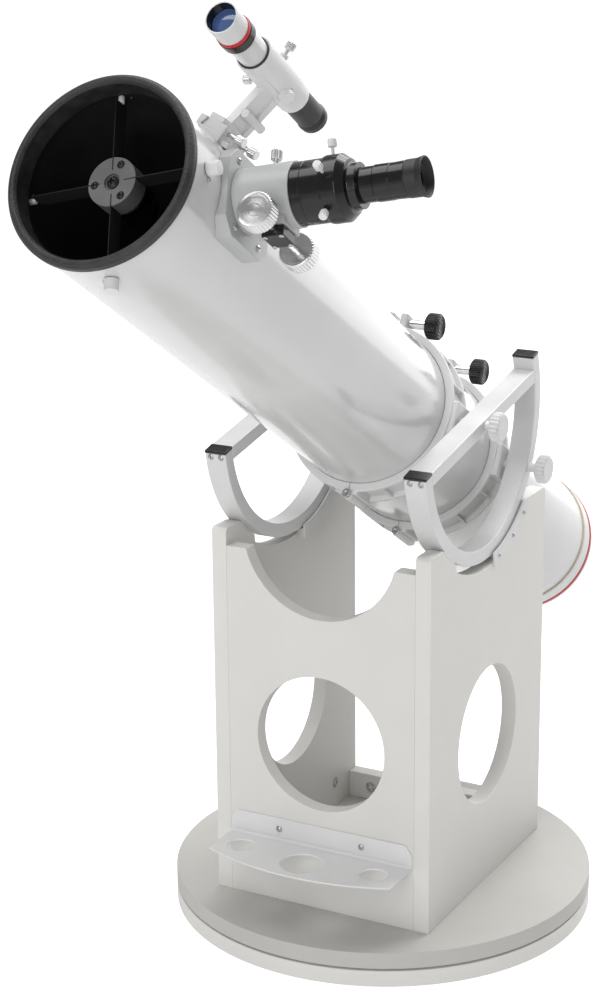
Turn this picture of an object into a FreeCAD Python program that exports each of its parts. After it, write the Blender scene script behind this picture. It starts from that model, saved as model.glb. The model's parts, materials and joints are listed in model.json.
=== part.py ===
"""Dobsonian reflector telescope: a 150 mm f/8 Newtonian tube in a ring cradle with two big
D-shaped altitude bearings, on a rocker box that turns on a round ground board.

Millimetres.  World frame: origin on the azimuth axis at floor level, +Z up, the front board of
the box faces -Y, the right side board is at +X.  The tube assembly is drawn in its own frame,
whose origin is the altitude axis, x across, y "up" from the tube axis and z along the tube
towards its open front.
"""
import FreeCAD
import Part
import Sketcher
import math
import os

DOC = FreeCAD.newDocument("dobsonian")
SHEET = DOC.addObject("Spreadsheet::Sheet", "Sizes")
Vector = FreeCAD.Vector
Rotation = FreeCAD.Rotation
Placement = FreeCAD.Placement
X_AXIS = Vector(1, 0, 0)
Y_AXIS = Vector(0, 1, 0)
Z_AXIS = Vector(0, 0, 1)
WORLD = Placement()
OVER = 1.0


class Size:
    """A length or angle that knows both its number and the sheet expression it comes from."""

    def __init__(self, text, number):
        self.text = text
        self.number = float(number)

    def _join(self, sign, other, number, swap=False):
        right = other.text if isinstance(other, Size) else repr(float(other))
        left = self.text
        if swap:
            left, right = right, left
        return Size("(%s %s %s)" % (left, sign, right), number)

    def __float__(self):
        return self.number

    def __add__(self, other):
        return self._join("+", other, self.number + float(other))

    def __radd__(self, other):
        return self._join("+", other, float(other) + self.number, True)

    def __sub__(self, other):
        return self._join("-", other, self.number - float(other))

    def __rsub__(self, other):
        return self._join("-", other, float(other) - self.number, True)

    def __mul__(self, other):
        return self._join("*", other, self.number * float(other))

    def __rmul__(self, other):
        return self._join("*", other, float(other) * self.number, True)

    def __truediv__(self, other):
        return self._join("/", other, self.number / float(other))

    def __neg__(self):
        return Size("(0 - %s)" % self.text, -self.number)


def fill_sheet(rows):
    """Writes the driving dimensions and returns them by name."""
    sizes = {}
    for number, (alias, value, note) in enumerate(rows, start=1):
        SHEET.set("A%d" % number, note)
        SHEET.set("B%d" % number, str(value))
        SHEET.setAlias("B%d" % number, alias)
        sizes[alias] = Size("Sizes." + alias, value)
    DOC.recompute()
    return sizes


SIZES = fill_sheet([
    # ground board, turntable and their bearing
    ("board_radius", 254, "radius of the two round boards"),
    ("board_thick", 20, "thickness of the round boards"),
    ("foot_height", 10, "height of the feet under the ground board"),
    ("foot_radius", 17, "radius of a foot"),
    ("foot_circle", 175, "radius of the circle of the feet"),
    ("azimuth_gap", 2.5, "gap between the round boards"),
    ("pad_circle", 190, "radius of the circle of the sliding pads"),
    ("pivot_radius", 5, "radius of the pivot bolt"),
    # rocker box
    ("panel_thick", 19, "thickness of the box panels"),
    ("box_width", 278, "outer width of the box"),
    ("box_depth", 326, "depth of the box"),
    ("side_height", 451.5, "height of the side boards"),
    ("front_height", 431, "height of the front board at its horns"),
    ("cradle_cut_radius", 97.2, "radius of the hollow in the front board's top"),
    ("cradle_cut_height", 456.2, "height of the hollow's centre over the turntable"),
    ("front_hole_radius", 82, "radius of the round hole in the front board"),
    ("front_hole_height", 207.5, "height of that hole over the turntable"),
    ("side_hole_radius", 84, "radius of the round hole in a side board"),
    ("side_hole_height", 188.5, "height of that hole over the turntable"),
    ("corner_round", 7, "rounding of the side boards' top corners"),
    ("brace_height", 35, "height of the brace across the back"),
    ("cam_radius", 7.5, "radius of a cam fitting"),
    ("cam_depth", 12, "depth of a cam fitting"),
    # eyepiece tray
    ("tray_width", 236, "width of the eyepiece tray"),
    ("tray_reach", 82, "how far the tray stands out at its middle"),
    ("tray_bow", 291, "radius of the tray's bowed front edge"),
    ("tray_level", 78.5, "height of the tray over the turntable"),
    ("tray_flange", 27, "height of the tray's flange"),
    ("sheet_thick", 2, "thickness of the tray's sheet metal"),
    ("small_hole", 16, "radius of the two small eyepiece holes"),
    ("large_hole", 25.5, "radius of the large eyepiece hole"),
    # altitude bearings
    ("axis_height", 568.3, "height of the altitude axis over the turntable"),
    ("axis_offset", 17, "how far the altitude axis lies in front of the azimuth axis"),
    ("arc_radius", 160.8, "outer radius of the altitude arcs"),
    ("arc_depth", 16.6, "radial depth of an arc"),
    ("arc_width", 26.5, "width of an arc along the altitude axis"),
    ("arc_inset", 111.3, "distance of an arc's inner face from the middle"),
    ("arc_rise", 14.2, "how far the arc's ends rise over its centre"),
    ("bar_depth", 16, "depth of the straight bar"),
    ("cap_thick", 3.2, "thickness of the plastic end caps"),
    ("cut_clear", 2.5, "gap between arc and side board"),
    ("pad_thick", 2.3, "thickness of the low-friction pads"),
    ("guide_thick", 2.5, "thickness of the guide plates"),
    ("tube_tilt", 32, "altitude angle of the tube at rest"),
    ("chord_turn", 43.5, "angle between the arc's chord and the square of the tube"),
    ("bar_turn", 3.5, "extra turn of the straight bar"),
    # tube
    ("tube_radius", 92.5, "outer radius of the tube"),
    ("tube_wall", 1.2, "wall of the tube"),
    ("front_reach", 665.5, "altitude axis to the front rim"),
    ("rear_reach", 545, "altitude axis to the rear end"),
    ("rim_radius", 95.8, "outer radius of the front rim"),
    ("rear_radius", 94.5, "outer radius of the rear ring"),
    ("rear_ring_length", 39, "length of the rear ring"),
    # cradle rings
    ("ring_width", 44, "width of a cradle ring"),
    ("ring_spacing", 152, "distance between the two cradle rings"),
    ("ring_wall", 4, "wall of a cradle ring between its lips"),
    ("ring_lip", 9.5, "height of a cradle ring's lips over the tube"),
    ("hinge_offset", 106, "distance of the ring hinge from the tube axis"),
    ("clamp_offset", 111.5, "distance of the ring clamp from the tube axis"),
    ("knob_radius", 15.6, "radius of the clamp knobs"),
    ("bearing_knob_radius", 17, "radius of the bearing knobs"),
    # optics
    ("mirror_radius", 76, "radius of the main mirror"),
    ("mirror_thick", 24, "thickness of the main mirror"),
    ("hub_radius", 24.5, "radius of the spider hub"),
    ("hub_length", 20, "length of the spider hub"),
    ("spider_reach", 629, "altitude axis to the spider"),
    ("spider_turn", 76, "angle of the first spider vane"),
    ("diagonal_radius", 20, "half the short axis of the diagonal mirror"),
    # focuser
    ("focuser_reach", 563, "altitude axis to the focuser axis"),
    ("focuser_turn", 78, "angle of the focuser round the tube"),
    ("base_length", 90, "focuser base along the tube"),
    ("base_width", 88, "focuser base across the tube"),
    ("base_top", 99, "top of the focuser base from the tube axis"),
    ("housing_radius", 31, "radius of the focuser housing"),
    ("housing_top", 155, "end of the focuser housing from the tube axis"),
    ("draw_radius", 28, "radius of the drawtube"),
    ("draw_top", 176, "end of the drawtube from the tube axis"),
    ("pinion_side", 36, "offset of the pinion from the focuser axis"),
    ("pinion_out", 135, "distance of the pinion from the tube axis"),
    ("focus_knob_radius", 18, "radius of the focus knobs"),
    ("focus_knob_width", 16, "thickness of a focus knob"),
    ("focus_knob_reach", 53.5, "half the width over both focus knobs"),
    ("eyepiece_radius", 16.5, "radius of the eyepiece body"),
    ("adapter_top", 216, "end of the eyepiece adapter from the tube axis"),
    ("eyepiece_foot", 217, "where the eyepiece body begins, from the tube axis"),
    ("lock_level", 128, "distance of the focus lock from the tube axis"),
    ("eyepiece_top", 278.5, "end of the eyecup from the tube axis"),
    # finder
    ("finder_turn", 22, "angle of the finder round the tube"),
    ("finder_offset", 180, "distance of the finder axis from the tube axis"),
    ("finder_front", 641, "altitude axis to the finder's front"),
    ("finder_rear", 430, "altitude axis to the finder's eye end"),
    ("finder_radius", 15.2, "radius of the finder tube"),
    ("holder_radius", 18.4, "radius of the finder holder"),
    ("holder_rear", 479, "altitude axis to the rear end of the finder holder"),
    ("holder_front", 571, "altitude axis to the front end of the finder holder"),
])
G = type("Sizes", (), SIZES)


# ---------------------------------------------------------------- frames
BOARD_TOP = G.foot_height + 2 * G.board_thick + G.azimuth_gap
HALF_BOX = G.box_width / 2
INSIDE = HALF_BOX - G.panel_thick
BACK = G.box_depth / 2
AXIS_Z = BOARD_TOP + G.axis_height
AXIS_POINT = Vector(0, -float(G.axis_offset), float(AXIS_Z))
TUBE = Placement(AXIS_POINT, Rotation(X_AXIS, 90 - float(G.tube_tilt)))
AXIS_FRAME = Placement(AXIS_POINT, Rotation())
CHORD = TUBE.multiply(Placement(Vector(), Rotation(X_AXIS, -float(G.chord_turn))))
BAR = TUBE.multiply(Placement(Vector(), Rotation(X_AXIS, -float(G.chord_turn + G.bar_turn))))


def around_tube(angle, reach):
    """Frame with x along the tube, z straight out of it at an angle, y round it."""
    turn = math.radians(float(angle))
    out = Vector(math.sin(turn), math.cos(turn), 0)
    side = Vector(math.cos(turn), -math.sin(turn), 0)
    return TUBE.multiply(Placement(Vector(0, 0, float(reach)), Rotation(Z_AXIS, side, out, "ZXY")))


FOCUSER = around_tube(G.focuser_turn, G.focuser_reach)
FINDER = around_tube(G.finder_turn, 0)


# ---------------------------------------------------------------- drawing helpers
NODES = []


def bind(obj, name, value):
    """Sets a property, through the sheet when the value comes from it."""
    if isinstance(value, Size):
        obj.setExpression(name, value.text)
    else:
        setattr(obj, name, value)


def place(frame, spot, axis=Z_AXIS, spin=0):
    """Placement in a frame with the local z turned to an axis."""
    base = Vector(*[float(value) for value in spot])
    turn = Rotation(Z_AXIS, axis).multiply(Rotation(Z_AXIS, spin))
    return frame.multiply(Placement(base, turn))


def primitive(kind, where, **sizes):
    obj = DOC.addObject("Part::" + kind, kind)
    for name, value in sizes.items():
        bind(obj, name, value)
    obj.Placement = where
    return obj


def cylinder(radius, length, spot, axis=Z_AXIS, frame=WORLD, sweep=360, spin=0):
    where = place(frame, spot, axis, spin)
    return primitive("Cylinder", where, Radius=radius, Height=length, Angle=sweep)


def cone(first, second, length, spot, axis=Z_AXIS, frame=WORLD):
    return primitive("Cone", place(frame, spot, axis), Radius1=first, Radius2=second, Height=length)


def block(size, centre, frame=WORLD, spin=None):
    """A box by its three sizes and its centre."""
    half = [-float(value) / 2 for value in size]
    turn = Placement(Vector(*[float(value) for value in centre]), spin or Rotation())
    where = frame.multiply(turn).multiply(Placement(Vector(*half), Rotation()))
    return primitive("Box", where, Length=size[0], Width=size[1], Height=size[2])


def fuse(*pieces):
    obj = DOC.addObject("Part::MultiFuse", "Fuse")
    obj.Shapes = list(pieces)
    obj.Refine = True
    return obj


def group(*pieces):
    """Several separate solids in one sub-part."""
    obj = DOC.addObject("Part::Compound", "Group")
    obj.Links = list(pieces)
    return obj


def cut(base, *tools):
    obj = DOC.addObject("Part::Cut", "Cut")
    obj.Base = base
    obj.Tool = tools[0] if len(tools) == 1 else group(*tools)
    obj.Refine = True
    return obj


def common(base, tool):
    obj = DOC.addObject("Part::Common", "Common")
    obj.Base = base
    obj.Tool = tool
    return obj


def ring(outer, inner, length, spot, axis=Z_AXIS, frame=WORLD):
    start = Vector(*[float(value) for value in spot]) - axis * OVER
    return cut(cylinder(outer, length, spot, axis, frame),
               cylinder(inner, length + 2 * OVER, start, axis, frame))


def node(name, obj):
    """Names an object as a sub-part of its own."""
    obj.Label = name
    NODES.append(obj)
    return obj


def new_body(name, frame=WORLD):
    body = DOC.addObject("PartDesign::Body", name + "_body")
    body.Placement = frame
    return body


def new_sketch(body, plane):
    sketch = body.newObject("Sketcher::SketchObject", "Sketch")
    planes = [feature for feature in body.Origin.OriginFeatures if feature.Role == plane]
    sketch.AttachmentSupport = (planes[0], "")
    sketch.MapMode = "FlatFace"
    return sketch


def pin(sketch, geometry, spot, x, y):
    """Fixes one point of a sketch at x, y, each tied to the sheet."""
    for kind, axis, value in (("DistanceX", -2, x), ("DistanceY", -1, y)):
        number = float(value)
        if abs(number) < 1e-9:
            sketch.addConstraint(Sketcher.Constraint("PointOnObject", geometry, spot, axis))
            continue
        ends = (-1, 1, geometry, spot) if number > 0 else (geometry, spot, -1, 1)
        index = sketch.addConstraint(Sketcher.Constraint(kind, *ends, abs(number)))
        if isinstance(value, Size):
            sign = "" if number > 0 else "0 - "
            sketch.setExpression("Constraints[%d]" % index, sign + value.text)


def outline(sketch, points):
    """A closed outline of straight lines."""
    count = len(points)
    for index, (x, y) in enumerate(points):
        following = points[(index + 1) % count]
        start = Vector(float(x), float(y), 0)
        end = Vector(float(following[0]), float(following[1]), 0)
        sketch.addGeometry(Part.LineSegment(start, end), False)
    for index in range(count):
        sketch.addConstraint(Sketcher.Constraint("Coincident", index, 2, (index + 1) % count, 1))
    for index, (x, y) in enumerate(points):
        pin(sketch, index, 1, x, y)
    return sketch


def circle(sketch, x, y, radius):
    centre = Vector(float(x), float(y), 0)
    index = sketch.addGeometry(Part.Circle(centre, Z_AXIS, float(radius)), False)
    pin(sketch, index, 3, x, y)
    number = sketch.addConstraint(Sketcher.Constraint("Radius", index, float(radius)))
    if isinstance(radius, Size):
        sketch.setExpression("Constraints[%d]" % number, radius.text)
    return sketch


def pad(body, sketch, length):
    feature = body.newObject("PartDesign::Pad", "Pad")
    feature.Profile = sketch
    bind(feature, "Length", length)
    DOC.recompute()
    return feature


def pocket(body, sketch):
    """Cuts a sketch right through, both ways, and checks that it took something away."""
    before = body.Shape.Volume
    feature = body.newObject("PartDesign::Pocket", "Pocket")
    feature.Profile = sketch
    feature.Type = "ThroughAll"
    feature.Midplane = True
    DOC.recompute()
    if body.Shape.Volume > before - 1:
        raise RuntimeError(body.Name + ": a pocket cut nothing")
    return feature


def fillet(body, radius, chosen):
    """Rounds the edges that a test picks."""
    base = body.Tip
    names = ["Edge%d" % (index + 1) for index, edge in enumerate(base.Shape.Edges) if chosen(edge)]
    feature = body.newObject("PartDesign::Fillet", "Fillet")
    feature.Base = (base, names)
    bind(feature, "Radius", radius)
    DOC.recompute()
    return feature


def revolved(name, points, frame=TUBE):
    """A turned piece: an outline of (radius, height) points round the frame's z."""
    body = new_body(name, frame)
    sketch = outline(new_sketch(body, "XZ_Plane"), points)
    feature = body.newObject("PartDesign::Revolution", "Revolution")
    feature.Profile = sketch
    feature.ReferenceAxis = (sketch, ["V_Axis"])
    feature.Angle = 360
    DOC.recompute()
    return body


def screw(frame, spot, axis, head_radius, head, shank_radius, shank):
    """Pan-head screw: the head stands on the spot along the axis, the shank runs back."""
    start = Vector(*[float(value) for value in spot])
    return fuse(cylinder(head_radius, head, start, axis, frame),
                cylinder(shank_radius, shank + OVER, start - axis * float(shank), axis, frame))


def polar(radius, angle, level):
    turn = math.radians(float(angle))
    return (float(radius) * math.cos(turn), float(radius) * math.sin(turn), float(level))


# ---------------------------------------------------------------- base
FOOT_ANGLES = (90, 210, 330)
PAD_ANGLES = (30, 150, 270)
NUT_RADIUS = 9.2
NUT_DEPTH = 5


def round_board(name, level, counterbore):
    """One laminated round board with its pivot hole."""
    body = new_body(name, Placement(Vector(0, 0, float(level)), Rotation()))
    pad(body, circle(new_sketch(body, "XY_Plane"), 0, 0, G.board_radius), G.board_thick)
    pocket(body, circle(new_sketch(body, "XY_Plane"), 0, 0, G.pivot_radius + 0.1))
    fillet(body, 1.2, lambda edge: edge.Length > 6 * float(G.board_radius))
    if not counterbore:
        return node(name, body)
    recess = cylinder(NUT_RADIUS + 3, NUT_DEPTH + OVER, (0, 0, level - OVER))
    return node(name, cut(body, recess))


def make_base():
    ground = G.foot_height
    round_board("ground_board", ground, True)
    round_board("turntable_board", ground + G.board_thick + G.azimuth_gap, False)
    feet = [cylinder(G.foot_radius, G.foot_height, polar(G.foot_circle, angle, 0))
            for angle in FOOT_ANGLES]
    node("feet", group(*feet))
    level = ground + G.board_thick
    pads = [cylinder(16, G.azimuth_gap - 0.05, polar(G.pad_circle, angle, level))
            for angle in PAD_ANGLES]
    node("azimuth_pads", group(*pads))
    washer = 1.6
    head = primitive("Prism", place(WORLD, (0, 0, BOARD_TOP + washer)), Polygon=6,
                     Circumradius=9.2, Height=6.4)
    shank = cylinder(G.pivot_radius, BOARD_TOP + washer - 5, (0, 0, 5))
    washer_ring = ring(12, G.pivot_radius + 0.02, washer, (0, 0, BOARD_TOP))
    nut = primitive("Prism", place(WORLD, (0, 0, 7)), Polygon=6, Circumradius=NUT_RADIUS,
                    Height=8)
    bore = cylinder(G.pivot_radius + 0.02, 12, (0, 0, 5))
    node("pivot_hardware", group(fuse(head, shank), washer_ring, cut(nut, bore)))


# ---------------------------------------------------------------- rocker box
CAM_Y = 104
RELIEF_DEPTH = 7.2
CAM_UP = 34
FRONT_CAM_UP = (58, 378)
TRAY_SCREW_X = 54
TRAY_SCREW_UP = 92
GUIDE_SCREW_SPOTS = ((12.5, 167.8), (27, 168.6), (39.5, 169.4))


def side_board(name, side):
    """Side board with its round hole, the bearing cut-out and the relief under the arc."""
    start = float(INSIDE) if side > 0 else -float(HALF_BOX)
    body = new_body(name, Placement(Vector(start, 0, float(BOARD_TOP)), Rotation()))
    centre = -G.axis_offset
    pad(body, outline(new_sketch(body, "YZ_Plane"), [
        (-BACK, 0), (BACK, 0), (BACK, G.side_height), (-BACK, G.side_height)]), G.panel_thick)
    fillet(body, G.corner_round, lambda edge:
           abs(edge.CenterOfMass.z - float(G.side_height)) < 0.1
           and abs(abs(edge.CenterOfMass.y) - float(BACK)) < 0.1)
    cut_radius = G.arc_radius + G.cut_clear
    pocket(body, circle(new_sketch(body, "YZ_Plane"), centre, G.axis_height, cut_radius))
    pocket(body, circle(new_sketch(body, "YZ_Plane"), 0, G.side_hole_height, G.side_hole_radius))
    relief = arc_plate(100, cut_radius + RELIEF_DEPTH, -27, 39, start - 2, G.panel_thick + 4)
    cams = [cylinder(G.cam_radius + 0.05, G.cam_depth + OVER,
                     (side * (float(INSIDE) - OVER), y, BOARD_TOP + CAM_UP), X_AXIS * side)
            for y in (-CAM_Y, CAM_Y)]
    holes = [cylinder(1.55, 12, spot, X_AXIS * -side, AXIS_FRAME)
             for spot in guide_screw_spots(side * (float(HALF_BOX) + OVER))]
    node(name, cut(body, relief, *(cams + holes)))


def guide_screw_spots(x):
    """Places of the guide screws, by angle behind straight down and radius."""
    spots = []
    for angle, radius in GUIDE_SCREW_SPOTS:
        turn = math.radians(angle)
        spots.append((x, radius * math.sin(turn), -radius * math.cos(turn)))
    return spots


def front_cam_spots(y):
    return [(side * (float(INSIDE) - 31.5), y, float(BOARD_TOP) + up)
            for side in (-1, 1) for up in FRONT_CAM_UP]


def front_board():
    """Front board with two horns, the hollow between them and the round hole."""
    body = new_body("front_board", Placement(
        Vector(0, -float(BACK - G.panel_thick), float(BOARD_TOP)), Rotation()))
    pad(body, outline(new_sketch(body, "XZ_Plane"), [
        (-INSIDE, 0), (INSIDE, 0), (INSIDE, G.front_height), (-INSIDE, G.front_height)]),
        G.panel_thick)
    pocket(body, circle(new_sketch(body, "XZ_Plane"), 0, G.cradle_cut_height,
                        G.cradle_cut_radius))
    pocket(body, circle(new_sketch(body, "XZ_Plane"), 0, G.front_hole_height,
                        G.front_hole_radius))
    fillet(body, 3, lambda edge: abs(edge.CenterOfMass.z - float(G.front_height)) < 0.1
           and edge.Length < float(G.panel_thick) + 1
           and abs(abs(edge.CenterOfMass.x) - float(INSIDE)) > 1)
    inner = -float(BACK - G.panel_thick)
    cams = [cylinder(G.cam_radius + 0.05, G.cam_depth + OVER, spot, Y_AXIS * -1)
            for spot in front_cam_spots(inner + OVER)]
    screws = [cylinder(1.85, 14, (x, -float(BACK) - OVER, BOARD_TOP + TRAY_SCREW_UP), Y_AXIS)
              for x in (-TRAY_SCREW_X, TRAY_SCREW_X)]
    node("front_board", cut(body, *(cams + screws)))


def rear_brace():
    middle = BACK - G.panel_thick / 2
    rail = block((2 * INSIDE, G.panel_thick, G.brace_height),
                 (0, middle, BOARD_TOP + G.brace_height / 2))
    cams = [cylinder(G.cam_radius + 0.05, G.cam_depth + OVER, (
        side * (float(INSIDE) - 31.5), BACK - G.panel_thick - OVER,
        BOARD_TOP + G.brace_height / 2), Y_AXIS) for side in (-1, 1)]
    node("rear_brace", cut(rail, *cams))


def cam_fittings():
    """The round cam locks that draw the boards together, flush in the inner faces."""
    cams = []
    for side in (-1, 1):
        for y in (-CAM_Y, CAM_Y):
            cams.append(cylinder(G.cam_radius - 0.05, G.cam_depth, (
                side * float(INSIDE), y, BOARD_TOP + CAM_UP), X_AXIS * side))
        cams.append(cylinder(G.cam_radius - 0.05, G.cam_depth, (
            side * (float(INSIDE) - 31.5), BACK - G.panel_thick,
            BOARD_TOP + G.brace_height / 2), Y_AXIS))
    for spot in front_cam_spots(-float(BACK - G.panel_thick)):
        cams.append(cylinder(G.cam_radius - 0.05, G.cam_depth, spot, Y_AXIS * -1))
    node("cam_fittings", group(*cams))


def eyepiece_tray():
    """Bent sheet tray: a flange on the front board, a shelf with three holes; returns its screws."""
    face = -float(BACK)
    level = BOARD_TOP + G.tray_level
    reach = G.tray_reach
    flange = block((G.tray_width, G.sheet_thick, G.tray_flange + G.sheet_thick), (
        0, face - float(G.sheet_thick) / 2, level + (G.tray_flange - G.sheet_thick) / 2))
    corners = [block((12, 6, 12), (side * (float(G.tray_width) / 2 + 1),
                                   face - 1, level + G.tray_flange), WORLD,
                     Rotation(Y_AXIS, 45)) for side in (-1, 1)]
    shelf = common(
        block((G.tray_width, reach, G.sheet_thick), (0, face - float(reach) / 2,
                                                     level - G.sheet_thick / 2)),
        cylinder(G.tray_bow, 6, (0, face - float(reach) + float(G.tray_bow), level - 4)))
    holes = [cylinder(G.large_hole, 8, (0, face - 46.5, level - 5))]
    holes += [cylinder(G.small_hole, 8, (side * 86.5, face - 35, level - 5)) for side in (-1, 1)]
    screws = [cylinder(1.9, 8, (x, face + OVER, BOARD_TOP + TRAY_SCREW_UP), Y_AXIS * -1)
              for x in (-TRAY_SCREW_X, TRAY_SCREW_X)]
    node("eyepiece_tray", cut(fuse(cut(flange, *corners), shelf), *(holes + screws)))
    return [screw(WORLD, (x, face - float(G.sheet_thick), BOARD_TOP + TRAY_SCREW_UP),
                  Y_AXIS * -1, 4, 2.2, 1.8, 13) for x in (-TRAY_SCREW_X, TRAY_SCREW_X)]


def arc_plate(inner, outer, start, sweep, near, thick):
    """A curved plate round the altitude axis, from an angle behind straight down."""
    spin = Placement(Vector(float(near), 0, 0), Rotation(Vector(0, 0, -1), Y_AXIS, X_AXIS, "ZXY"))
    frame = AXIS_FRAME.multiply(spin)
    body = cylinder(outer, thick, (0, 0, 0), Z_AXIS, frame, sweep, start)
    return cut(body, cylinder(inner, thick + 2 * OVER, (0, 0, -OVER), Z_AXIS, frame))


def bearing_guides():
    """Guide plates on each side board and the pads the arcs slide on; returns their screws."""
    cut_radius = G.arc_radius + G.cut_clear
    outer = []
    inner = []
    pads = []
    heads = []
    thick = float(G.guide_thick)
    for side in (-1, 1):
        face = float(HALF_BOX) if side > 0 else -float(HALF_BOX) - thick
        plate = arc_plate(G.arc_radius - 2.4, cut_radius + 13, 8, 35.5, face, G.guide_thick)
        holes = [cylinder(1.6, 12, spot, X_AXIS * -side, AXIS_FRAME)
                 for spot in guide_screw_spots(side * (float(HALF_BOX) + 4))]
        outer.append(cut(plate, *holes))
        back = float(G.arc_inset) - 0.6 - thick if side > 0 else 0.6 - float(G.arc_inset)
        web_start = float(G.arc_inset) - 0.6 if side > 0 else -float(INSIDE)
        web = float(INSIDE) - float(G.arc_inset) + 0.6
        inner.append(fuse(
            arc_plate(G.arc_radius - 2.4, cut_radius + 13, 8, 35.5, back, thick),
            arc_plate(cut_radius + 0.5, cut_radius + 13, 8, 35.5, web_start, web)))
        base = float(INSIDE) if side > 0 else -float(HALF_BOX)
        for start, sweep in ((14, 26), (-43, 12)):
            pads.append(arc_plate(cut_radius - G.pad_thick, cut_radius - 0.05, start, sweep,
                                  base, G.panel_thick))
        heads += [screw(AXIS_FRAME, spot, X_AXIS * side, 2.9, 1.6, 1.5, 8)
                  for spot in guide_screw_spots(side * (float(HALF_BOX) + thick))]
    node("bearing_guides", group(*(outer + inner)))
    node("bearing_pads", group(*pads))
    return heads


# ---------------------------------------------------------------- altitude bearings
SIDES = (("left", -1), ("right", 1))
STUD_RADIUS = 3
BAR_SCREW_X = 6.5


def bearing_middle(side):
    """Middle of an arc's width, measured along the altitude axis."""
    return side * (float(G.arc_inset) + float(G.arc_width) / 2)


def bearing_near(side, extra=0.0):
    inset = float(G.arc_inset)
    return inset - extra if side > 0 else -inset - float(G.arc_width) - extra


def bar_screw_spots(side):
    middle = bearing_middle(side)
    return [(middle + offset, end) for end in (-1, 1) for offset in (-BAR_SCREW_X, BAR_SCREW_X)]


def altitude_arc(name, side):
    """Half-round bearing: a ring cut off level just over its centre."""
    near = bearing_near(side)
    inner = G.arc_radius - G.arc_depth
    hoop = ring(G.arc_radius, inner, G.arc_width, (near, 0, 0), X_AXIS, TUBE)
    above = block((40, 400, 200), (bearing_middle(side), 0, G.arc_rise + 100), CHORD)
    stud = cylinder(STUD_RADIUS + 0.05, 60, (bearing_middle(side) - 30, 0, -G.ring_spacing),
                    X_AXIS, TUBE)
    tools = [above, stud]
    for x, end in bar_screw_spots(side):
        tools.append(cylinder(1.65, 24, (x, end * 142, 0), Y_AXIS * end, BAR))
        tools.append(cylinder(3.3, 4, (x, end * (float(G.arc_radius) - 2.2), 0), Y_AXIS * end, BAR))
    node(name, cut(hoop, *tools))


def cross_bars():
    """The straight bars that close the D shapes, through the altitude axis."""
    bars = []
    for _, side in SIDES:
        near = bearing_near(side)
        inner = G.arc_radius - G.arc_depth
        bar = common(block((G.arc_width, 2 * inner, G.bar_depth), (bearing_middle(side), 0, 0), BAR),
                     cylinder(inner - 0.02, G.arc_width + 2, (near - 1, 0, 0), X_AXIS, TUBE))
        tools = [cylinder(STUD_RADIUS + 0.05, 60, (bearing_middle(side) - 30, 0, 0), X_AXIS, TUBE)]
        tools += [cylinder(1.55, 24, (x, end * 128, 0), Y_AXIS * end, BAR)
                  for x, end in bar_screw_spots(side)]
        bars.append(cut(bar, *tools))
    node("cross_bars", group(*bars))


def end_caps():
    """Plastic caps on the four ends of the arcs."""
    caps = []
    for _, side in SIDES:
        near = bearing_near(side, 0.5)
        rim = G.arc_radius + 0.4
        inner = G.arc_radius - G.arc_depth + 0.05
        hoop = ring(rim, inner, G.arc_width + 1, (near, 0, 0), X_AXIS, TUBE)
        for end in (-1, 1):
            slab = block((G.arc_width + 1, 60, G.cap_thick), (
                bearing_middle(side), end * 150, G.arc_rise + G.cap_thick / 2), CHORD)
            caps.append(common(hoop, slab))
    node("arc_end_caps", group(*caps))


def bar_screws():
    """Countersunk screws that hold the cross bars inside the arcs."""
    heads = []
    for _, side in SIDES:
        for x, end in bar_screw_spots(side):
            heads.append(screw(BAR, (x, end * (float(G.arc_radius) - 1.9), 0), Y_AXIS * end,
                               3.1, 1.9, 1.5, 24))
    return heads


def fluted(radius, length, spot, axis, frame, count=18, depth=1.6):
    """A knob turned round and cut with shallow flutes."""
    body = cylinder(radius, length, spot, axis, frame)
    start = Vector(*[float(value) for value in spot])
    cutters = []
    square = place(frame, start, axis)
    for index in range(count):
        x, y, _ = polar(float(radius) + 0.35 * depth, 360.0 * index / count, 0)
        cutters.append(cylinder(depth, length + 2 * OVER, (x, y, -OVER), Z_AXIS, square))
    return cut(body, *cutters)


def bearing_knobs():
    """Four knobs that hold the D bearings on the rings: collar, fluted head and stud."""
    for place_name, reach, neck in (("front", 0, 8.5), ("rear", -float(G.ring_spacing), 12.4)):
        for name, side in SIDES:
            face = side * (float(G.arc_inset) + float(G.arc_width))
            axis = X_AXIS * side
            collar = cylinder(5.5, neck + 0.5, (face, 0, reach), axis, TUBE)
            head = fluted(G.bearing_knob_radius, 13.2, (face + side * neck, 0, reach), axis, TUBE, 20)
            stud = cylinder(STUD_RADIUS, 44, (face - side * 42, 0, reach), axis, TUBE)
            node("bearing_knob_%s_%s" % (place_name, name), fuse(collar, head, stud))


# ---------------------------------------------------------------- cradle rings
HINGE_RADIUS = 6
EAR_GAP = 4.5
EAR_THICK = 9
BOSS_RADIUS = 5.5
BOSS_HEIGHT = 3.7


def ring_profile():
    """Section of a cradle ring: a thin wall between two raised lips."""
    inner = G.tube_radius + 0.35
    wall = G.tube_radius + G.ring_wall
    lip = G.tube_radius + G.ring_lip
    half = G.ring_width / 2
    return [(inner, -half), (lip, -half), (lip, 6 - half), (wall, 7.5 - half),
            (wall, half - 7.5), (lip, half - 6), (lip, half), (inner, half)]


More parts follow.
